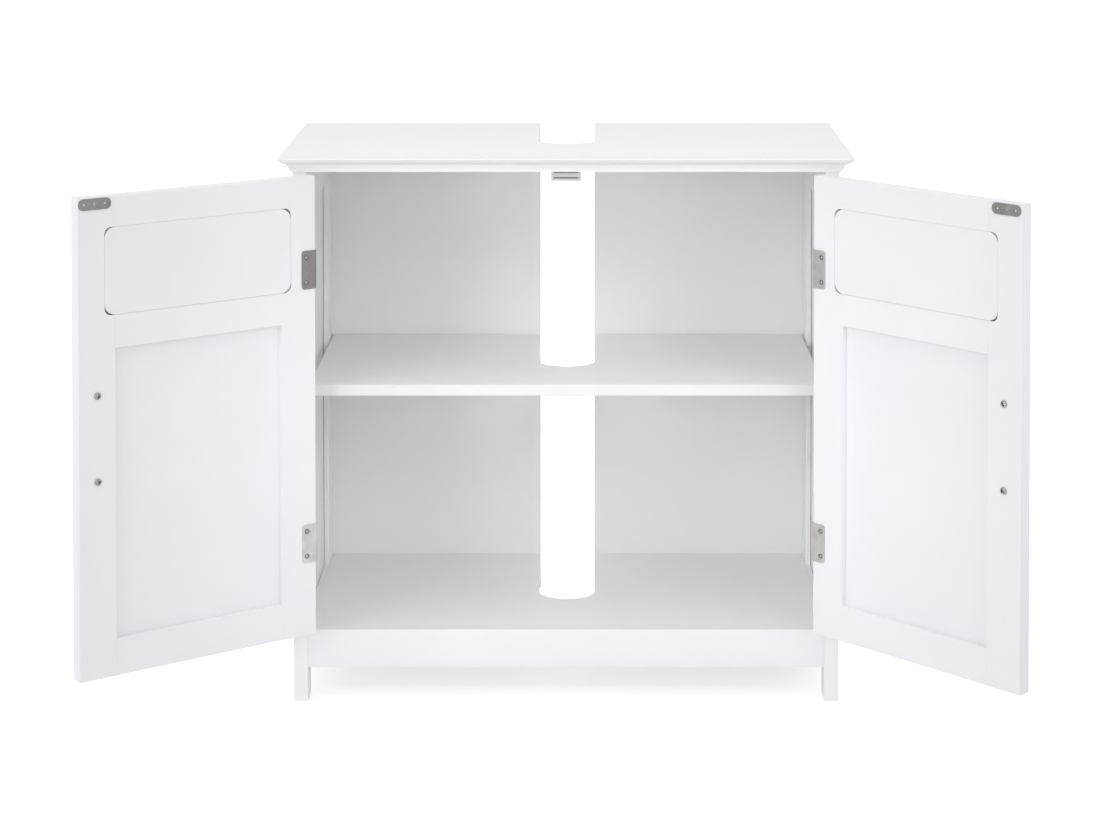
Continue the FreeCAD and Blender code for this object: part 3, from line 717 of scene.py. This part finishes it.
def mouldingStations():
    # (inward, downward) from the tip: arris, raking nose, quirk, steep cove and fillet.
    thick = cabinet["height"] - cabinet["underside"]
    steps = topEdge["steps"]
    arris = topEdge["arris"]
    stations = []
    for step in range(4):
        angle = math.pi / 2 * step / 4
        stations.append((arris * (1 - math.sin(angle)), arris * (1 - math.cos(angle))))
    noseEnd = (topEdge["noseReach"], topEdge["noseHeight"])
    coveTop = (noseEnd[0] + topEdge["quirk"], noseEnd[1])
    coveEnd = (coveTop[0] + topEdge["coveReach"], thick - topEdge["coveFillet"])
    stations += bowed((0, arris), noseEnd, -topEdge["noseBulge"], steps)
    stations += bowed(coveTop, coveEnd, topEdge["coveHollow"], steps)
    stations.append((coveEnd[0], thick))
    return stations


def makeTop():
    outline = slottedOutline(cabinet["halfTop"], -cabinet["topDepth"], 0.0)
    count = len(outline)
    moulded = {0, 1, count - 1}
    thick = cabinet["height"] - cabinet["underside"]
    roll = topEdge["backRoll"]
    rings = []
    for reach, drop in mouldingStations():
        rise = min(drop, thick - drop, roll)
        plain = roll - math.sqrt(max(0.0, roll * roll - (roll - rise) ** 2))
        reaches = [reach if index in moulded else plain for index in range(count)]
        level = cabinet["height"] - drop
        rings.append([(p.x, p.y, level) for p in insetOutline(outline, reaches)])
    form = bmesh.new()
    stackRings(form, rings)
    finishPiece("moulded_top", form, "painted_board", "carcass", "top_board", crease=40)


flatBoards = {
    "shelf": {"half": 269.0, "front": -268.0, "back": -10.0, "low": 318.0, "high": 330.0,
              "arris": 0.9},
    "floor": {"half": 270.0, "front": -270.0, "back": -9.0, "low": 64.0, "high": 76.0,
              "arris": 0.5},
    "apron": ((-270, -285, 36), (270, -270, 76)),
}


def boardForm(half, front, back, low, high, arris):
    return slab(slottedOutline(half, front, back), low, high, arris)


def makeFlatBoards():
    shelf = finishPiece("pipe_slot_shelf", boardForm(**flatBoards["shelf"]), "painted_board",
                        "carcass", "shelf")
    # The shelf's forward faces take a darker copy of the paint, as painted shade.
    shelf.data.materials.append(finishes["shelf_front_shade"])
    for face in shelf.data.polygons:
        if face.normal.y < -0.6:
            face.material_index = 1
    finishPiece("pipe_slot_floor", boardForm(**flatBoards["floor"]), "painted_board",
                "carcass", "floor_board")
    apron = easedBox(*flatBoards["apron"], cabinet["roundOver"], along="x")
    # The apron takes the doors' darker paint as painted shade.
    finishPiece("plinth_rail", apron, "cool_board_with_painted_shade", "carcass", "front_apron")


makeTop()
makeFlatBoards()
print("boards made")

# Side frames

sideFrame = {
    "posts": {"front": (-285.0, -255.0), "rear": (-54.0, -9.0)},
    "postGrooves": {"front": (-259, -254), "rear": (-55, -50)},
    "grooveTop": 560,
    "rails": {"top": (512.0, 557.0), "bottom": (36.0, 76.0)},
    "railGrooves": {"top": (511.0, 516.0), "bottom": (72.0, 77.0)},
    "railY": (-255, -54),
    "railGrooveY": (-260, -49),
    "panelX": (276.0, 280.5),
    "panelY": (-258.6, -50.4),
    "panelZ": (72.4, 515.6),
    "panelArris": 0.3,
    "play": 0.1,
    "seam": 0.6,  # shadow gap along the inner face of the thin panel
    "tongue": 1.4,  # how much thicker a rail's tongue is than the panel
    "pinHoles": (314.5, 255.0),
    "pinPlaces": {"front": -262.0, "rear": -31.5},
    "pinHoleRadius": 2.6,
    "pinHoleDepth": 9.0,
}


def makePost(side, label):
    inner, outer = cabinet["postInner"], cabinet["postOuter"]
    near, far = sideFrame["posts"][label]
    form = easedBox((inner, near, 0), (outer, far, cabinet["underside"]), cabinet["roundOver"])
    x0, x1 = sideFrame["panelX"]
    start, end = sideFrame["postGrooves"][label]
    tools = [easedBox((x0 - sideFrame["seam"], start, cabinet["legHeight"]),
                      (x1, end, sideFrame["grooveTop"]), 0)]
    for level in sideFrame["pinHoles"]:
        base = (inner - 1, sideFrame["pinPlaces"][label], level)
        tools.append(cylinder(sideFrame["pinHoleRadius"], sideFrame["pinHoleDepth"] + 1, base,
                              (1, 0, 0)))
    carcassPiece(side, label + "_leg", cut(form, *tools), "painted_board", label + "_post")


def makeRail(side, label):
    x0, x1 = sideFrame["panelX"]
    near, far = sideFrame["railY"]
    low, high = sideFrame["rails"][label]
    form = easedBox((cabinet["postInner"], near, low), (cabinet["postOuter"], far, high),
                    cabinet["roundOver"], along="y")
    start, end = sideFrame["panelY"]
    form = fused(form, easedBox((x0 - sideFrame["tongue"], start, low),
                                (x1 - sideFrame["play"], end, high), 0))
    start, end = sideFrame["railGrooveY"]
    low, high = sideFrame["railGrooves"][label]
    form = cut(form, easedBox((x0 - sideFrame["seam"], start, low), (x1, end, high), 0))
    carcassPiece(side, label + "_side_rail", form, "painted_board", label + "_rail")


def makeSidePanel(side):
    spans = (sideFrame["panelX"], sideFrame["panelY"], sideFrame["panelZ"])
    low, high = ([span[end] for span in spans] for end in (0, 1))
    high[0] -= sideFrame["play"]
    panel = easedBox(low, high, sideFrame["panelArris"])
    carcassPiece(side, "thin_side_panel", panel, "painted_panel", "side_panel")


for side in sides:
    for label in ("front", "rear"):
        makePost(side, label)
    for label in ("top", "bottom"):
        makeRail(side, label)
    makeSidePanel(side)
    repaint(side + "_back_panel", "painted_panel")
print("side frames made")

# Screws with a cross recess

screws = {
    "recessWidth": 0.5,  # share of the head's radius
    "recessReach": 0.8,
    "recessTaper": (0.45, 0.6),
    "thread": 0.16,
    "pitch": 1.3,
    "seat": 2.8,  # radius of a hinge plate's countersink, without the ring
    "ring": 0.7,  # open ring between a sunk head and its plate
    "sunk": 0.3,  # how far a sunk head lies below its plate
    "rim": 0.45,  # depth of a sunk head's rim
    "panelPlaces": ((277.5, 66.0), (277.5, 296.5), (277.5, 527.0), (91.0, 70.0), (210.0, 70.0)),
    "facets": 36,
    "neck": 0.8,  # plain shank under the head
    "tip": 2.2,
    "roundRecess": 0.85,  # depth, as a share of a round head's height
    "sunkRecess": (2.2, 0.9),  # most depth, and depth as a share of the radius
}


def threaded(start, end, radius, tip):
    # A cut thread drawn as close rings down to a point.
    made = []
    along = start
    while along < end - tip:
        made.append((along, radius))
        made.append((along + screws["pitch"] * 0.5, radius - screws["thread"] * radius))
        along += screws["pitch"]
    made += [(end - tip, radius * 0.8), (end, 0)]
    return made


def crossCutter(radius, top, depth):
    tools = []
    for turn in (0, 90):
        wide = radius * screws["recessWidth"]
        reach = radius * screws["recessReach"]
        form = easedBox((-reach, -wide / 2, -depth), (reach, wide / 2, 1.0), 0)
        for vert in form.verts:
            if vert.co.z < 0:
                vert.co.x *= screws["recessTaper"][0]
                vert.co.y *= screws["recessTaper"][1]
        move(form, Matrix.Translation((0, 0, top)) @ Matrix.Rotation(math.radians(turn), 4, "Z"))
        tools.append(form)
    return fused(*tools)


def screwForm(head, radius, height, shank, length, facets=screws["facets"]):
    # Head up along +Z from its seat at zero, shank down.
    if head == "sunk":
        profile = [(height, 0), (height, radius * 0.92), (height - 0.2, radius),
                   (height - screws["rim"], radius), (0.0, shank)]
    else:
        profile = []
        for step in range(7):
            angle = math.pi / 2 * step / 6
            profile.append((height * (0.35 + 0.65 * math.cos(angle)), radius * math.sin(angle)))
        profile += [(0.0, radius), (0.0, shank)]
    thread = threaded(screws["neck"], length, shank, screws["tip"])
    profile += [(-along, size) for along, size in thread]
    form = turned(profile, facets, (0, 0, 0), (0, 0, 1))
    most, share = screws["sunkRecess"]
    depth = height * screws["roundRecess"] if head == "round" else min(most, share * radius)
    return cut(form, crossCutter(radius, height, depth))


def stamp(form, kind, base, direction):
    # Drops a copy of a screw at its place, each turned to its own angle.
    before = len(form.verts)
    form.from_mesh(patterns[kind])
    form.verts.ensure_lookup_table()
    spin = Matrix.Rotation(dice.uniform(0, math.pi / 2), 4, "Z")
    bmesh.ops.transform(form, matrix=standing(base, direction) @ spin, verts=form.verts[before:])


seat, halfRing = screws["seat"], screws["ring"] / 2
screwKinds = {
    # head, its radius and height, shank radius and length
    "hinge": ("sunk", seat - halfRing, 1.0 - screws["sunk"], 1.4, 11.0),
    "strike": ("sunk", 2.0, 0.95, 1.4, 11.0),
    "catch": ("round", 2.4, 1.6, 1.3, 11.0),
    "panel": ("round", 3.0, 1.6, 1.4, 18.0),
    "bolt": ("round", 3.6, 2.4, 2.0, 23.0, 40),
}
patterns = {kind: meshFrom(kind, screwForm(*sizes)) for kind, sizes in screwKinds.items()}


def makePanelScrews():
    form = bmesh.new()
    for x, z in screws["panelPlaces"]:
        for sign in (-1, 1):
            stamp(form, "panel", (sign * x, cabinet["panelBack"], z), (0, 1, 0))
    finishPiece("back_screws", form, "screw_steel", "carcass", "back_panel_screws")


makePanelScrews()
print("screw patterns made")

# Hinges

hinge = {
    "heights": (173.5, 458.5),
    "length": 40.0,
    "sheet": 1.0,
    "barrel": 2.5,
    "bore": 1.3,
    "pin": 1.25,
    "knuckles": 5,
    "knuckleGap": 0.3,
    "swingGap": 0.3,
    "seam": 92.0,  # where the rolled strip ends, in degrees from the side away from its leaf
    "screwSpacing": 25.8,
    "screwSetback": 11.0,
    "cornerRound": 3.0,
    "arris": 0.18,
    "plateFaces": (0.2, 1.2),  # the rolled strip's two faces, from the pin's axis
    "leafReach": 23.0,
    "doorLeafReach": 16.3,
    "bendRound": 1.15,
    "plateLap": (5, 6),  # where the face plate and the wrapped plate meet, from its outside
    "knuckleLap": 0.4,  # how far a rolled strip runs into its plate
    "pinHead": ((0, 2.2), (0.5, 2.15), (0.95, 1.85), (1.25, 1.3), (1.4, 0.6), (1.4, 0)),
}


postFace = cabinet["postInner"]
doorBack = cabinet["frontFace"] + doors["thickness"]
plateFace, plateBack = postFace - hinge["sheet"], doorBack + hinge["sheet"]
swingReach = hinge["barrel"] + hinge["swingGap"]
leafStart = doors["pivotY"] + swingReach  # where a leaf's plate begins


def rolledStrip(facing, far):
    # The strip runs from its plate round the pin and back to the plate, leaving a fine seam.
    # facing is +1 for the frame leaf and -1 for the door leaf.
    x, y = doors["pivotX"], doors["pivotY"]
    outer, bore = hinge["barrel"], hinge["bore"]
    innerFace, nearFace = hinge["plateFaces"]
    leave = math.degrees(math.acos(nearFace / outer))
    comeBack = math.degrees(math.acos(innerFace / bore))
    outside = arc((0, 0), outer, leave, hinge["seam"] - 360, 30)
    inside = arc((0, 0), bore, hinge["seam"] - 360, comeBack, 24)
    points = [(nearFace, far)] + outside + inside + [(innerFace, far)]
    placed = [(x + facing * px, y + py) for px, py in points]
    return placed if facing < 0 else placed[::-1]


def knuckles(z, first, facing):
    step, reach = hinge["length"] / hinge["knuckles"], swingReach + hinge["knuckleLap"]
    made = []
    for index in range(first, hinge["knuckles"], 2):
        low = z - hinge["length"] / 2 + index * step + hinge["knuckleGap"] / 2
        made.append(slab(rolledStrip(facing, reach), low, low + step - hinge["knuckleGap"],
                         hinge["arris"] * 0.6, 1))
    return made


def countersinks(places, direction, depth, mouth=seat + halfRing, hole=1.5):
    # Steep at the mouth, so that a ring stays open round each head.
    tools = []
    for base in places:
        profile = [(-1, 0), (-1, mouth), (depth * 0.6, mouth - 0.1), (depth, hole + 0.1),
                   (depth + 1, hole), (depth + 1, 0)]
        tools.append(turned(profile, 32, base, direction))
    return tools


def frameLeaf(z):
    low, high = z - hinge["length"] / 2, z + hinge["length"] / 2
    far, bend = cabinet["frontFace"] + hinge["leafReach"], hinge["cornerRound"]
    outline = rectangle(leafStart, low, far, high, [0, bend, bend, 0])
    plate = slab(outline, plateFace, postFace, hinge["arris"], 2, axis="x", rollHigh=False)
    leaf = fused(plate, *knuckles(z, 0, 1))
    return cut(leaf, *countersinks(frameScrewPlaces(z), (1, 0, 0), hinge["sheet"]))


def frameScrewPlaces(z):
    y = cabinet["frontFace"] + hinge["screwSetback"]
    half = hinge["screwSpacing"] / 2
    return [(plateFace, y, z - half), (plateFace, y, z + half)]


def doorScrewPlaces(z):
    x = doors["edgeX"] - hinge["screwSetback"]
    half = hinge["screwSpacing"] / 2
    return [(x, plateBack, z - half), (x, plateBack, z + half)]


def doorLeaf(z):
    low, high = z - hinge["length"] / 2, z + hinge["length"] / 2
    edge, bend = doors["edgeX"], hinge["cornerRound"]
    near, far = edge + hinge["sheet"], edge - hinge["doorLeafReach"]
    start, end = (near - lap for lap in hinge["plateLap"])
    wrap = roundCorners(
        [(edge, leafStart), (near, leafStart), (near, plateBack), (end, plateBack),
         (end, doorBack), (edge, doorBack)],
        [0, 0, hinge["bendRound"], 0, 0, 0],
    )
    edgePlate = slab(wrap, low, high, hinge["arris"] * 0.6, 1)
    outline = rectangle(far, low, start, high, [bend, 0, 0, bend])
    facePlate = slab(outline, doorBack, plateBack, hinge["arris"], 2, axis="y", rollLow=False)
    leaf = fused(edgePlate, facePlate, *knuckles(z, 1, -1))
    return cut(leaf, *countersinks(doorScrewPlaces(z), (0, -1, 0), hinge["sheet"]))


def pinForm(z):
    half, head = hinge["length"] / 2, hinge["pinHead"]
    profile = [(-half - along, radius) for along, radius in head[::-1]]
    profile += [(-half, hinge["pin"]), (half, hinge["pin"])]
    profile += [(half + along, radius) for along, radius in head]
    return turned(profile, 32, (doors["pivotX"], doors["pivotY"], z), (0, 0, 1))


def makeHinges(side):
    levels = hinge["heights"]
    onPost, onDoor = joined([frameLeaf(z) for z in levels]), joined([doorLeaf(z) for z in levels])
    carcassPiece(side, "leaves_on_post", onPost, "hinge_steel", "hinge_frame_leaves")
    doorPiece(side, "leaves_on_door", onDoor, "hinge_steel", "hinge_door_leaves")
    pins = joined([pinForm(z) for z in levels])
    carcassPiece(side, "pins", pins, "screw_steel", "hinge_pins")
    onPost, onDoor = bmesh.new(), bmesh.new()
    for z in levels:
        for x, y, level in frameScrewPlaces(z):
            stamp(onPost, "hinge", (x + hinge["sheet"], y, level), (-1, 0, 0))
        for x, y, level in doorScrewPlaces(z):
            stamp(onDoor, "hinge", (x, y - hinge["sheet"], level), (0, 1, 0))
    carcassPiece(side, "post_screws", onPost, "shaded_screw_steel", "hinge_frame_screws")
    doorPiece(side, "door_screws", onDoor, "shaded_screw_steel", "hinge_door_screws")


for side in sides:
    makeHinges(side)
print("hinges made")

# Doors


def doorBox(s0, s1, n0, n1, z0, z1, roll, along="xyz"):
    # s runs from the hinge edge to the lock edge, n from the outer face to the inner.
    return easedBox(
        (doors["edgeX"] - s1, cabinet["frontFace"] + n0, z0),
        (doors["edgeX"] - s0, cabinet["frontFace"] + n1, z1),
        roll, along,
    )


insert = {"lap": 11.0, "round": 11.6, "gap": 0.4, "rebateRound": 7.0, "fill": 0.22, "arris": 0.3}
stileEdge = {"outer": 1.05, "inner": 0.22, "ends": 0.15}  # roundings of the stiles
panelReach = 4.0  # depth of the groove round the thin lower panel


def insertOutline(margin, radius):
    stile, lap = doors["stile"], insert["lap"] + margin
    low, high = doors["upperOpening"]
    x0 = doors["edgeX"] - (doors["width"] - stile + lap)
    x1 = doors["edgeX"] - (stile - lap)
    return rectangle(x0, low - lap, x1, high + lap, radius, 8)


def rebateTool():
    face = cabinet["frontFace"]
    return slab(insertOutline(insert["gap"], insert["rebateRound"]), face + doors["recess"],
                face + doors["thickness"] + 1, axis="y")


def grooveTool():
    low, high = doors["lowerOpening"]
    start, end = doors["stile"], doors["width"] - doors["stile"]
    return doorBox(start - panelReach, end + panelReach, doors["recess"],
                   doors["recess"] + doors["panelThickness"], low - panelReach,
                   high + panelReach, 0)


def stileForm(s0, s1, outerFirst):
    # Softened on its outer edges, and nearly sharp where the rails meet it flush.
    outer, inner = stileEdge["outer"], stileEdge["inner"]
    x0, x1 = doors["edgeX"] - s1, doors["edgeX"] - s0
    y0, y1 = cabinet["frontFace"], cabinet["frontFace"] + doors["thickness"]
    radii = [inner, outer, outer, inner] if outerFirst else [outer, inner, inner, outer]
    outline = rectangle(x0, y0, x1, y1, radii, 4)
    return slab(outline, doors["bottom"], doors["top"], stileEdge["ends"], 1)


def makeDoor(side):
    stile, width, thick = doors["stile"], doors["width"], doors["thickness"]
    low, high = doors["lowerOpening"]
    upLow, upHigh = doors["upperOpening"]
    face = cabinet["frontFace"]
    rails = {
        "bottom_rail": (doors["bottom"], low),
        "middle_rail": (high, upLow),
        "top_rail": (upHigh, doors["top"]),
    }
    stiles = {"hinge_stile": (0, stile, True), "lock_stile": (width - stile, width, False)}
    for label, span in stiles.items():
        form = cut(stileForm(*span), rebateTool(), grooveTool())
        doorPiece(side, label, form, "cool_board_with_painted_shade", "door_" + label)
    for label, (z0, z1) in rails.items():
        form = doorBox(stile, width - stile, 0, thick, z0, z1, cabinet["roundOver"], along="x")
        form = cut(form, rebateTool(), grooveTool())
        doorPiece(side, label + "_of_door", form, "cool_board_with_painted_shade", "door_" + label)
    panel = slab(insertOutline(insert["fill"], insert["round"]), face + doors["recess"],
                 face + thick, insert["arris"], axis="y")
    doorPiece(side, "insert_panel", panel, "cool_panel_with_painted_shade", "door_upper_panel")
    repaint(side + "_door_lower_panel", "cool_panel_with_painted_shade")


for side in sides:
    makeDoor(side)
print("doors made")

# Strike plates and handles

strike = {
    "length": 35.0,
    "height": 11.3,
    "thickness": 1.0,
    "round": 5.5,
    "margin": 0.8,  # from the door's edges
    "arris": 0.25,
    "pips": 11.0,
    "pipRadius": 1.5,
    "screwMouth": 2.1,
}

handle = {
    "x": doors["edgeX"] - doors["width"] + 20.3,
    "heights": (274.0, 359.0),
    "projection": 18.0,
    "thick": 7.0,
    "wide": 10.0,
    "bend": 6.5,
    "soften": 1.8,
    "steps": 10,  # of each bend
}


def makeStrike(side):
    halfLong, halfTall = strike["length"] / 2, strike["height"] / 2
    x = doors["edgeX"] - (doors["width"] - strike["margin"] - halfLong)
    z = doors["top"] - strike["margin"] - halfTall
    outline = rectangle(x - halfLong, z - halfTall, x + halfLong, z + halfTall,
                        strike["round"], 10)
    front = doorBack + strike["thickness"]
    plate = slab(outline, doorBack, front, strike["arris"], 2, axis="y", rollLow=False)
    tools = countersinks([(x, front, z)], (0, -1, 0), strike["thickness"], strike["screwMouth"])
    for offset in (-strike["pips"], strike["pips"]):
        tools.append(cylinder(strike["pipRadius"], 3, (x + offset, doorBack - 1.5, z), (0, 1, 0)))
    plate = cut(plate, *tools)
    doorPiece(side, "catch_strike", plate, "strike_steel", "door_strike_plate")
    form = bmesh.new()
    stamp(form, "strike", (x, doorBack, z), (0, 1, 0))
    doorPiece(side, "strike_fixing", form, "screw_steel", "door_strike_screw")


def makeHandle(side):
    low, high = handle["heights"]
    face, bend = cabinet["frontFace"], handle["bend"]
    crest = face - handle["projection"] + handle["thick"] / 2
    steps = handle["steps"]
    turns = [90 * step / steps for step in range(steps + 1)]
    path = [((face, low), 0.0)]
    for turn in turns:
        out, up = bend * math.sin(math.radians(turn)), bend * math.cos(math.radians(turn))
        path.append(((crest + bend - out, low + bend - up), turn))
    for turn in turns:
        up, out = bend * math.sin(math.radians(turn)), bend * math.cos(math.radians(turn))
        path.append(((crest + bend - out, high - bend + up), 90.0 + turn))
    path.append(((face, high), 180.0))
    wide, thick = handle["wide"] / 2, handle["thick"] / 2
    section = rectangle(-wide, -thick, wide, thick, handle["soften"], 5)
    rings = []
    for (y, z), heading in path:
        # The heading starts straight out of the door and turns up, then back in.
        angle = math.radians(heading)
        acrossY, acrossZ = -math.sin(angle), -math.cos(angle)
        rings.append([(handle["x"] + p.x, y + acrossY * p.y, z + acrossZ * p.y) for p in section])
    form = bmesh.new()
    stackRings(form, rings)
    doorPiece(side, "bow_handle", form, "handle_metal", "door_handle")
    bolts = bmesh.new()
    for level in handle["heights"]:
        stamp(bolts, "bolt", (handle["x"], doorBack, level), (0, 1, 0))
    doorPiece(side, "handle_bolts", bolts, "screw_steel", "door_handle_screws")


for side in sides:
    makeStrike(side)
    makeHandle(side)
print("strikes and handles made")

# Double magnetic catch under the top

catch = {
    "half": 15.5,
    "front": -268.2,
    "back": -254.2,
    "bottom": 544.6,
    "top": 557.0,
    "ear": 21.2,
    "earThick": 2.2,
    "earDepth": 10.0,
    "wall": 2.4,
    "web": 0.5,
    "middle": 550.8,
    "poleHalf": 3.5,
    "magnetHalf": 2.3,
    "screwX": 18.35,
    "round": 1.3,
    "earRound": 3.0,
    "hole": (1.5, 553, 5),  # radius, where its tool starts and the tool's length
    "play": 0.1,
    "magnetBack": 0.6,  # how far the magnet stays behind the front
    "poleOut": 0.5,  # how far the pole plates stand out of it
}


def makeCatch():
    half, middleY = catch["half"], (catch["front"] + catch["back"]) / 2
    body = easedBox((-half, catch["front"], catch["bottom"]),
                    (half, catch["back"], catch["top"]), catch["round"])
    earY = catch["earDepth"] / 2
    outline = rectangle(-catch["ear"], middleY - earY, catch["ear"], middleY + earY,
                        catch["earRound"], 8)
    ears = slab(outline, catch["top"] - catch["earThick"], catch["top"], 0.5, 2, rollHigh=False)
    # The magnet's pocket stays closed in front but for one slit to each pole plate.
    inside, middle, play = half - catch["wall"], catch["middle"], catch["play"]
    reach, web = catch["poleHalf"] + play, catch["front"] + catch["web"]
    tools = [easedBox((-inside, web, middle - reach),
                      (inside, catch["back"] - catch["wall"], middle + reach), 0)]
    for low, high in ((-reach, play - catch["magnetHalf"]), (catch["magnetHalf"] - play, reach)):
        tools.append(easedBox((-inside, catch["front"] - 1, middle + low),
                              (inside, web + 1, middle + high), 0))
    tools = [fused(*tools)]
    for x in (-catch["screwX"], catch["screwX"]):
        radius, start, length = catch["hole"]
        tools.append(cylinder(radius, length, (x, middleY, start), (0, 0, 1)))
    form = cut(fused(body, ears), *tools)
    finishPiece("catch_case", form, "catch_plastic", "carcass", "catch_housing")

    inner, back = inside - play, catch["back"] - catch["wall"] - play
    magnet = easedBox((-inner, catch["front"] + catch["magnetBack"], middle - catch["magnetHalf"]),
                      (inner, back, middle + catch["magnetHalf"]), 0.35)
    finishPiece("catch_ferrite", magnet, "magnet_ferrite", "carcass", "catch_magnet")
    poles = []
    for sign in (-1, 1):
        a = middle + sign * catch["magnetHalf"]
        b = middle + sign * catch["poleHalf"]
        poles.append(easedBox((-inner, catch["front"] - catch["poleOut"], min(a, b)),
                              (inner, back, max(a, b)), 0.2))
    finishPiece("catch_poles", joined(poles), "pole_steel", "carcass", "catch_pole_plates")
    form = bmesh.new()
    for x in (-catch["screwX"], catch["screwX"]):
        stamp(form, "catch", (x, middleY, catch["top"] - catch["earThick"]), (0, 0, -1))
    finishPiece("catch_fixings", form, "screw_steel", "carcass", "catch_screws")


makeCatch()

# Shelf supports and the pegs inside the joints


supports = {
    "ledge": ((262.0, 318.0), (262.0, 316.0), (268.0, 310.0), (270.0, 310.0), (270.0, 318.0)),
    "rounds": (0.5, 0.8, 0.5, 0.2, 0.2),
    "halfWide": 4.5,
    "arris": 0.4,
    "pin": ((0, 0), (0, 2.5), (9.4, 2.5), (11, 1.9), (11, 0)),
    "start": 268.0,
    "level": 314.5,
}
pegs = {
    "profile": ((-10, 0), (-10, 2.3), (-9.2, 3.0), (9.2, 3.0), (10, 2.3), (10, 0)),
    "flute": 0.25,
    "middles": (-225.0, -84.0),
    "topX": 277.5,
    "sideX": 270.0,
    "topZ": 557.0,
    "floorZ": 68.5,
    "apron": (-277.5, 50.0),
}


def makeSupports():
    forms = []
    for y in sideFrame["pinPlaces"].values():
        outline = roundCorners(supports["ledge"], supports["rounds"], 3)
        wide = supports["halfWide"]
        bracket = slab(outline, y - wide, y + wide, supports["arris"], 2, axis="y")
        start = (supports["start"], y, supports["level"])
        one = fused(bracket, turned(supports["pin"], 32, start, (1, 0, 0)))
        other = one.copy()
        mirror(other)
        forms += [one, other]
    finishPiece("shelf_pins", joined(forms), "support_steel", "carcass", "shelf_supports")


def pegForm(base, direction):
    # A fluted peg: the flutes run its length, and both ends are chamfered.
    form = turned(pegs["profile"], 40, base, direction)
    axis = Vector(direction)
    for index, vert in enumerate(form.verts):
        arm = vert.co - Vector(base)
        arm -= axis * arm.dot(axis)
        if arm.length > 2.6 and index % 2:
            vert.co -= arm.normalized() * pegs["flute"]
    return form


def makePegs():
    forms = []
    for sign in (-1, 1):
        top, side = sign * pegs["topX"], sign * pegs["sideX"]
        for y in pegs["middles"]:
            forms.append(pegForm((top, y, pegs["topZ"]), (0, 0, 1)))
            forms.append(pegForm((side, y, pegs["floorZ"]), (sign, 0, 0)))
        forms.append(pegForm((side, *pegs["apron"]), (sign, 0, 0)))
    finishPiece("joint_pegs", joined(forms), "bare_wood", "carcass", "locating_dowels", crease=60)


makeSupports()
makePegs()
print("catch, supports and pegs made")

# Camera at the photograph's viewpoint

view = {
    "place": (18.6, -3031.4, 953.8),
    "focal": 2648.6,  # pixels of the 1100 wide frame
    "pitch": 1.713,
    "centre": (583.8, -130.6),
    "size": (1100, 824),
}


def makeCamera():
    data = bpy.data.cameras.new("photo view")
    camera = addObject("photo view", data)
    wide, tall = view["size"]
    data.sensor_width = 36.0
    data.lens = 36.0 * view["focal"] / wide
    data.shift_x = (wide / 2 - view["centre"][0]) / wide
    data.shift_y = (view["centre"][1] - tall / 2) / wide
    data.clip_start = 0.1
    data.clip_end = 50.0
    camera.location = [value * mm for value in view["place"]]
    camera.rotation_euler = (math.radians(90 - view["pitch"]), 0, 0)
    bpy.context.scene.camera = camera


# Pale floor, white surroundings and soft studio light

studio = {
    "floorColour": (0.88, 0.88, 0.88),
    "floorGlow": 0.06,  # the lit table under the cabinet
    "floorLift": 0.42,  # white added where the camera looks at the floor
    "world": 0.81,
    "lamps": (
        # name, place, size, watts, aim, beam angle
        ("left", (-5.2, -4.2, 1.7), (3.0, 3.0), 43.0, (0.0, -0.2, 0.3), 180),
        ("overhead", (-0.2, -0.8, 3.0), (2.4, 1.8), 8.0, (0.0, -0.2, 0.3), 180),
        ("inside from right", (0.6, -1.2, 0.9), (0.7, 0.5), 0.16, (-0.16, -0.12, 0.2), 28),
        ("inside from left", (-0.6, -1.2, 0.9), (0.7, 0.5), 0.13, (0.16, -0.12, 0.2), 28),
        ("low from right", (0.5, -1.3, 0.55), (0.6, 0.5), 0.048, (-0.19, -0.12, 0.28), 24),
        ("low from left", (-0.5, -1.3, 0.55), (0.6, 0.5), 0.095, (0.19, -0.12, 0.28), 24),
    ),
}


def seenDirectly(tree):
    # One for the camera, mirrors and glass, nought for light bouncing about.
    path = addNode(tree, "ShaderNodeLightPath")
    seen = sums(tree, "ADD", path.outputs["Is Camera Ray"], path.outputs["Is Glossy Ray"])
    return sums(tree, "ADD", seen, path.outputs["Is Transmission Ray"], clamp=True)


def makeFloor():
    form = bmesh.new()
    bmesh.ops.create_grid(form, x_segments=24, y_segments=24, size=12.0)
    floor = addObject("studio_floor", meshFrom("studio_floor", form))
    material = bpy.data.materials.new("studio floor")
    material.use_nodes = True
    tree = material.node_tree
    tree.nodes.clear()
    matt = addNode(tree, "ShaderNodeBsdfDiffuse", Color=(*studio["floorColour"], 1.0))
    lift = sums(tree, "MULTIPLY_ADD", seenDirectly(tree), studio["floorLift"],
                studio["floorGlow"])
    white = addNode(tree, "ShaderNodeEmission", Strength=lift)
    both = addNode(tree, "ShaderNodeAddShader")
    setSocket(tree, both.inputs[0], matt.outputs[0])
    setSocket(tree, both.inputs[1], white.outputs[0])
    addNode(tree, "ShaderNodeOutputMaterial", Surface=both.outputs[0])
    floor.data.materials.append(material)


def makeWorld():
    world = bpy.data.worlds.new("white room")
    bpy.context.scene.world = world
    world.use_nodes = True
    tree = world.node_tree
    back = tree.nodes["Background"]
    back.inputs["Color"].default_value = (1, 1, 1, 1)
    level = spread(tree, seenDirectly(tree), studio["world"], 1.0, 0.0, 1.0)
    setSocket(tree, back.inputs["Strength"], level)


def makeLamps():
    for name, place, size, watts, aim, beam in studio["lamps"]:
        data = bpy.data.lights.new(name, "AREA")
        data.shape = "RECTANGLE"
        data.size, data.size_y = size
        data.energy = watts
        data.spread = math.radians(beam)
        lamp = addObject(name, data)
        lamp.location = place
        lamp.rotation_euler = (Vector(aim) - Vector(place)).to_track_quat("-Z", "Y").to_euler()


makeCamera()
makeFloor()
makeWorld()
makeLamps()
bpy.context.scene.view_settings.view_transform = "Standard"

for pattern in patterns.values():
    bpy.data.meshes.remove(pattern)
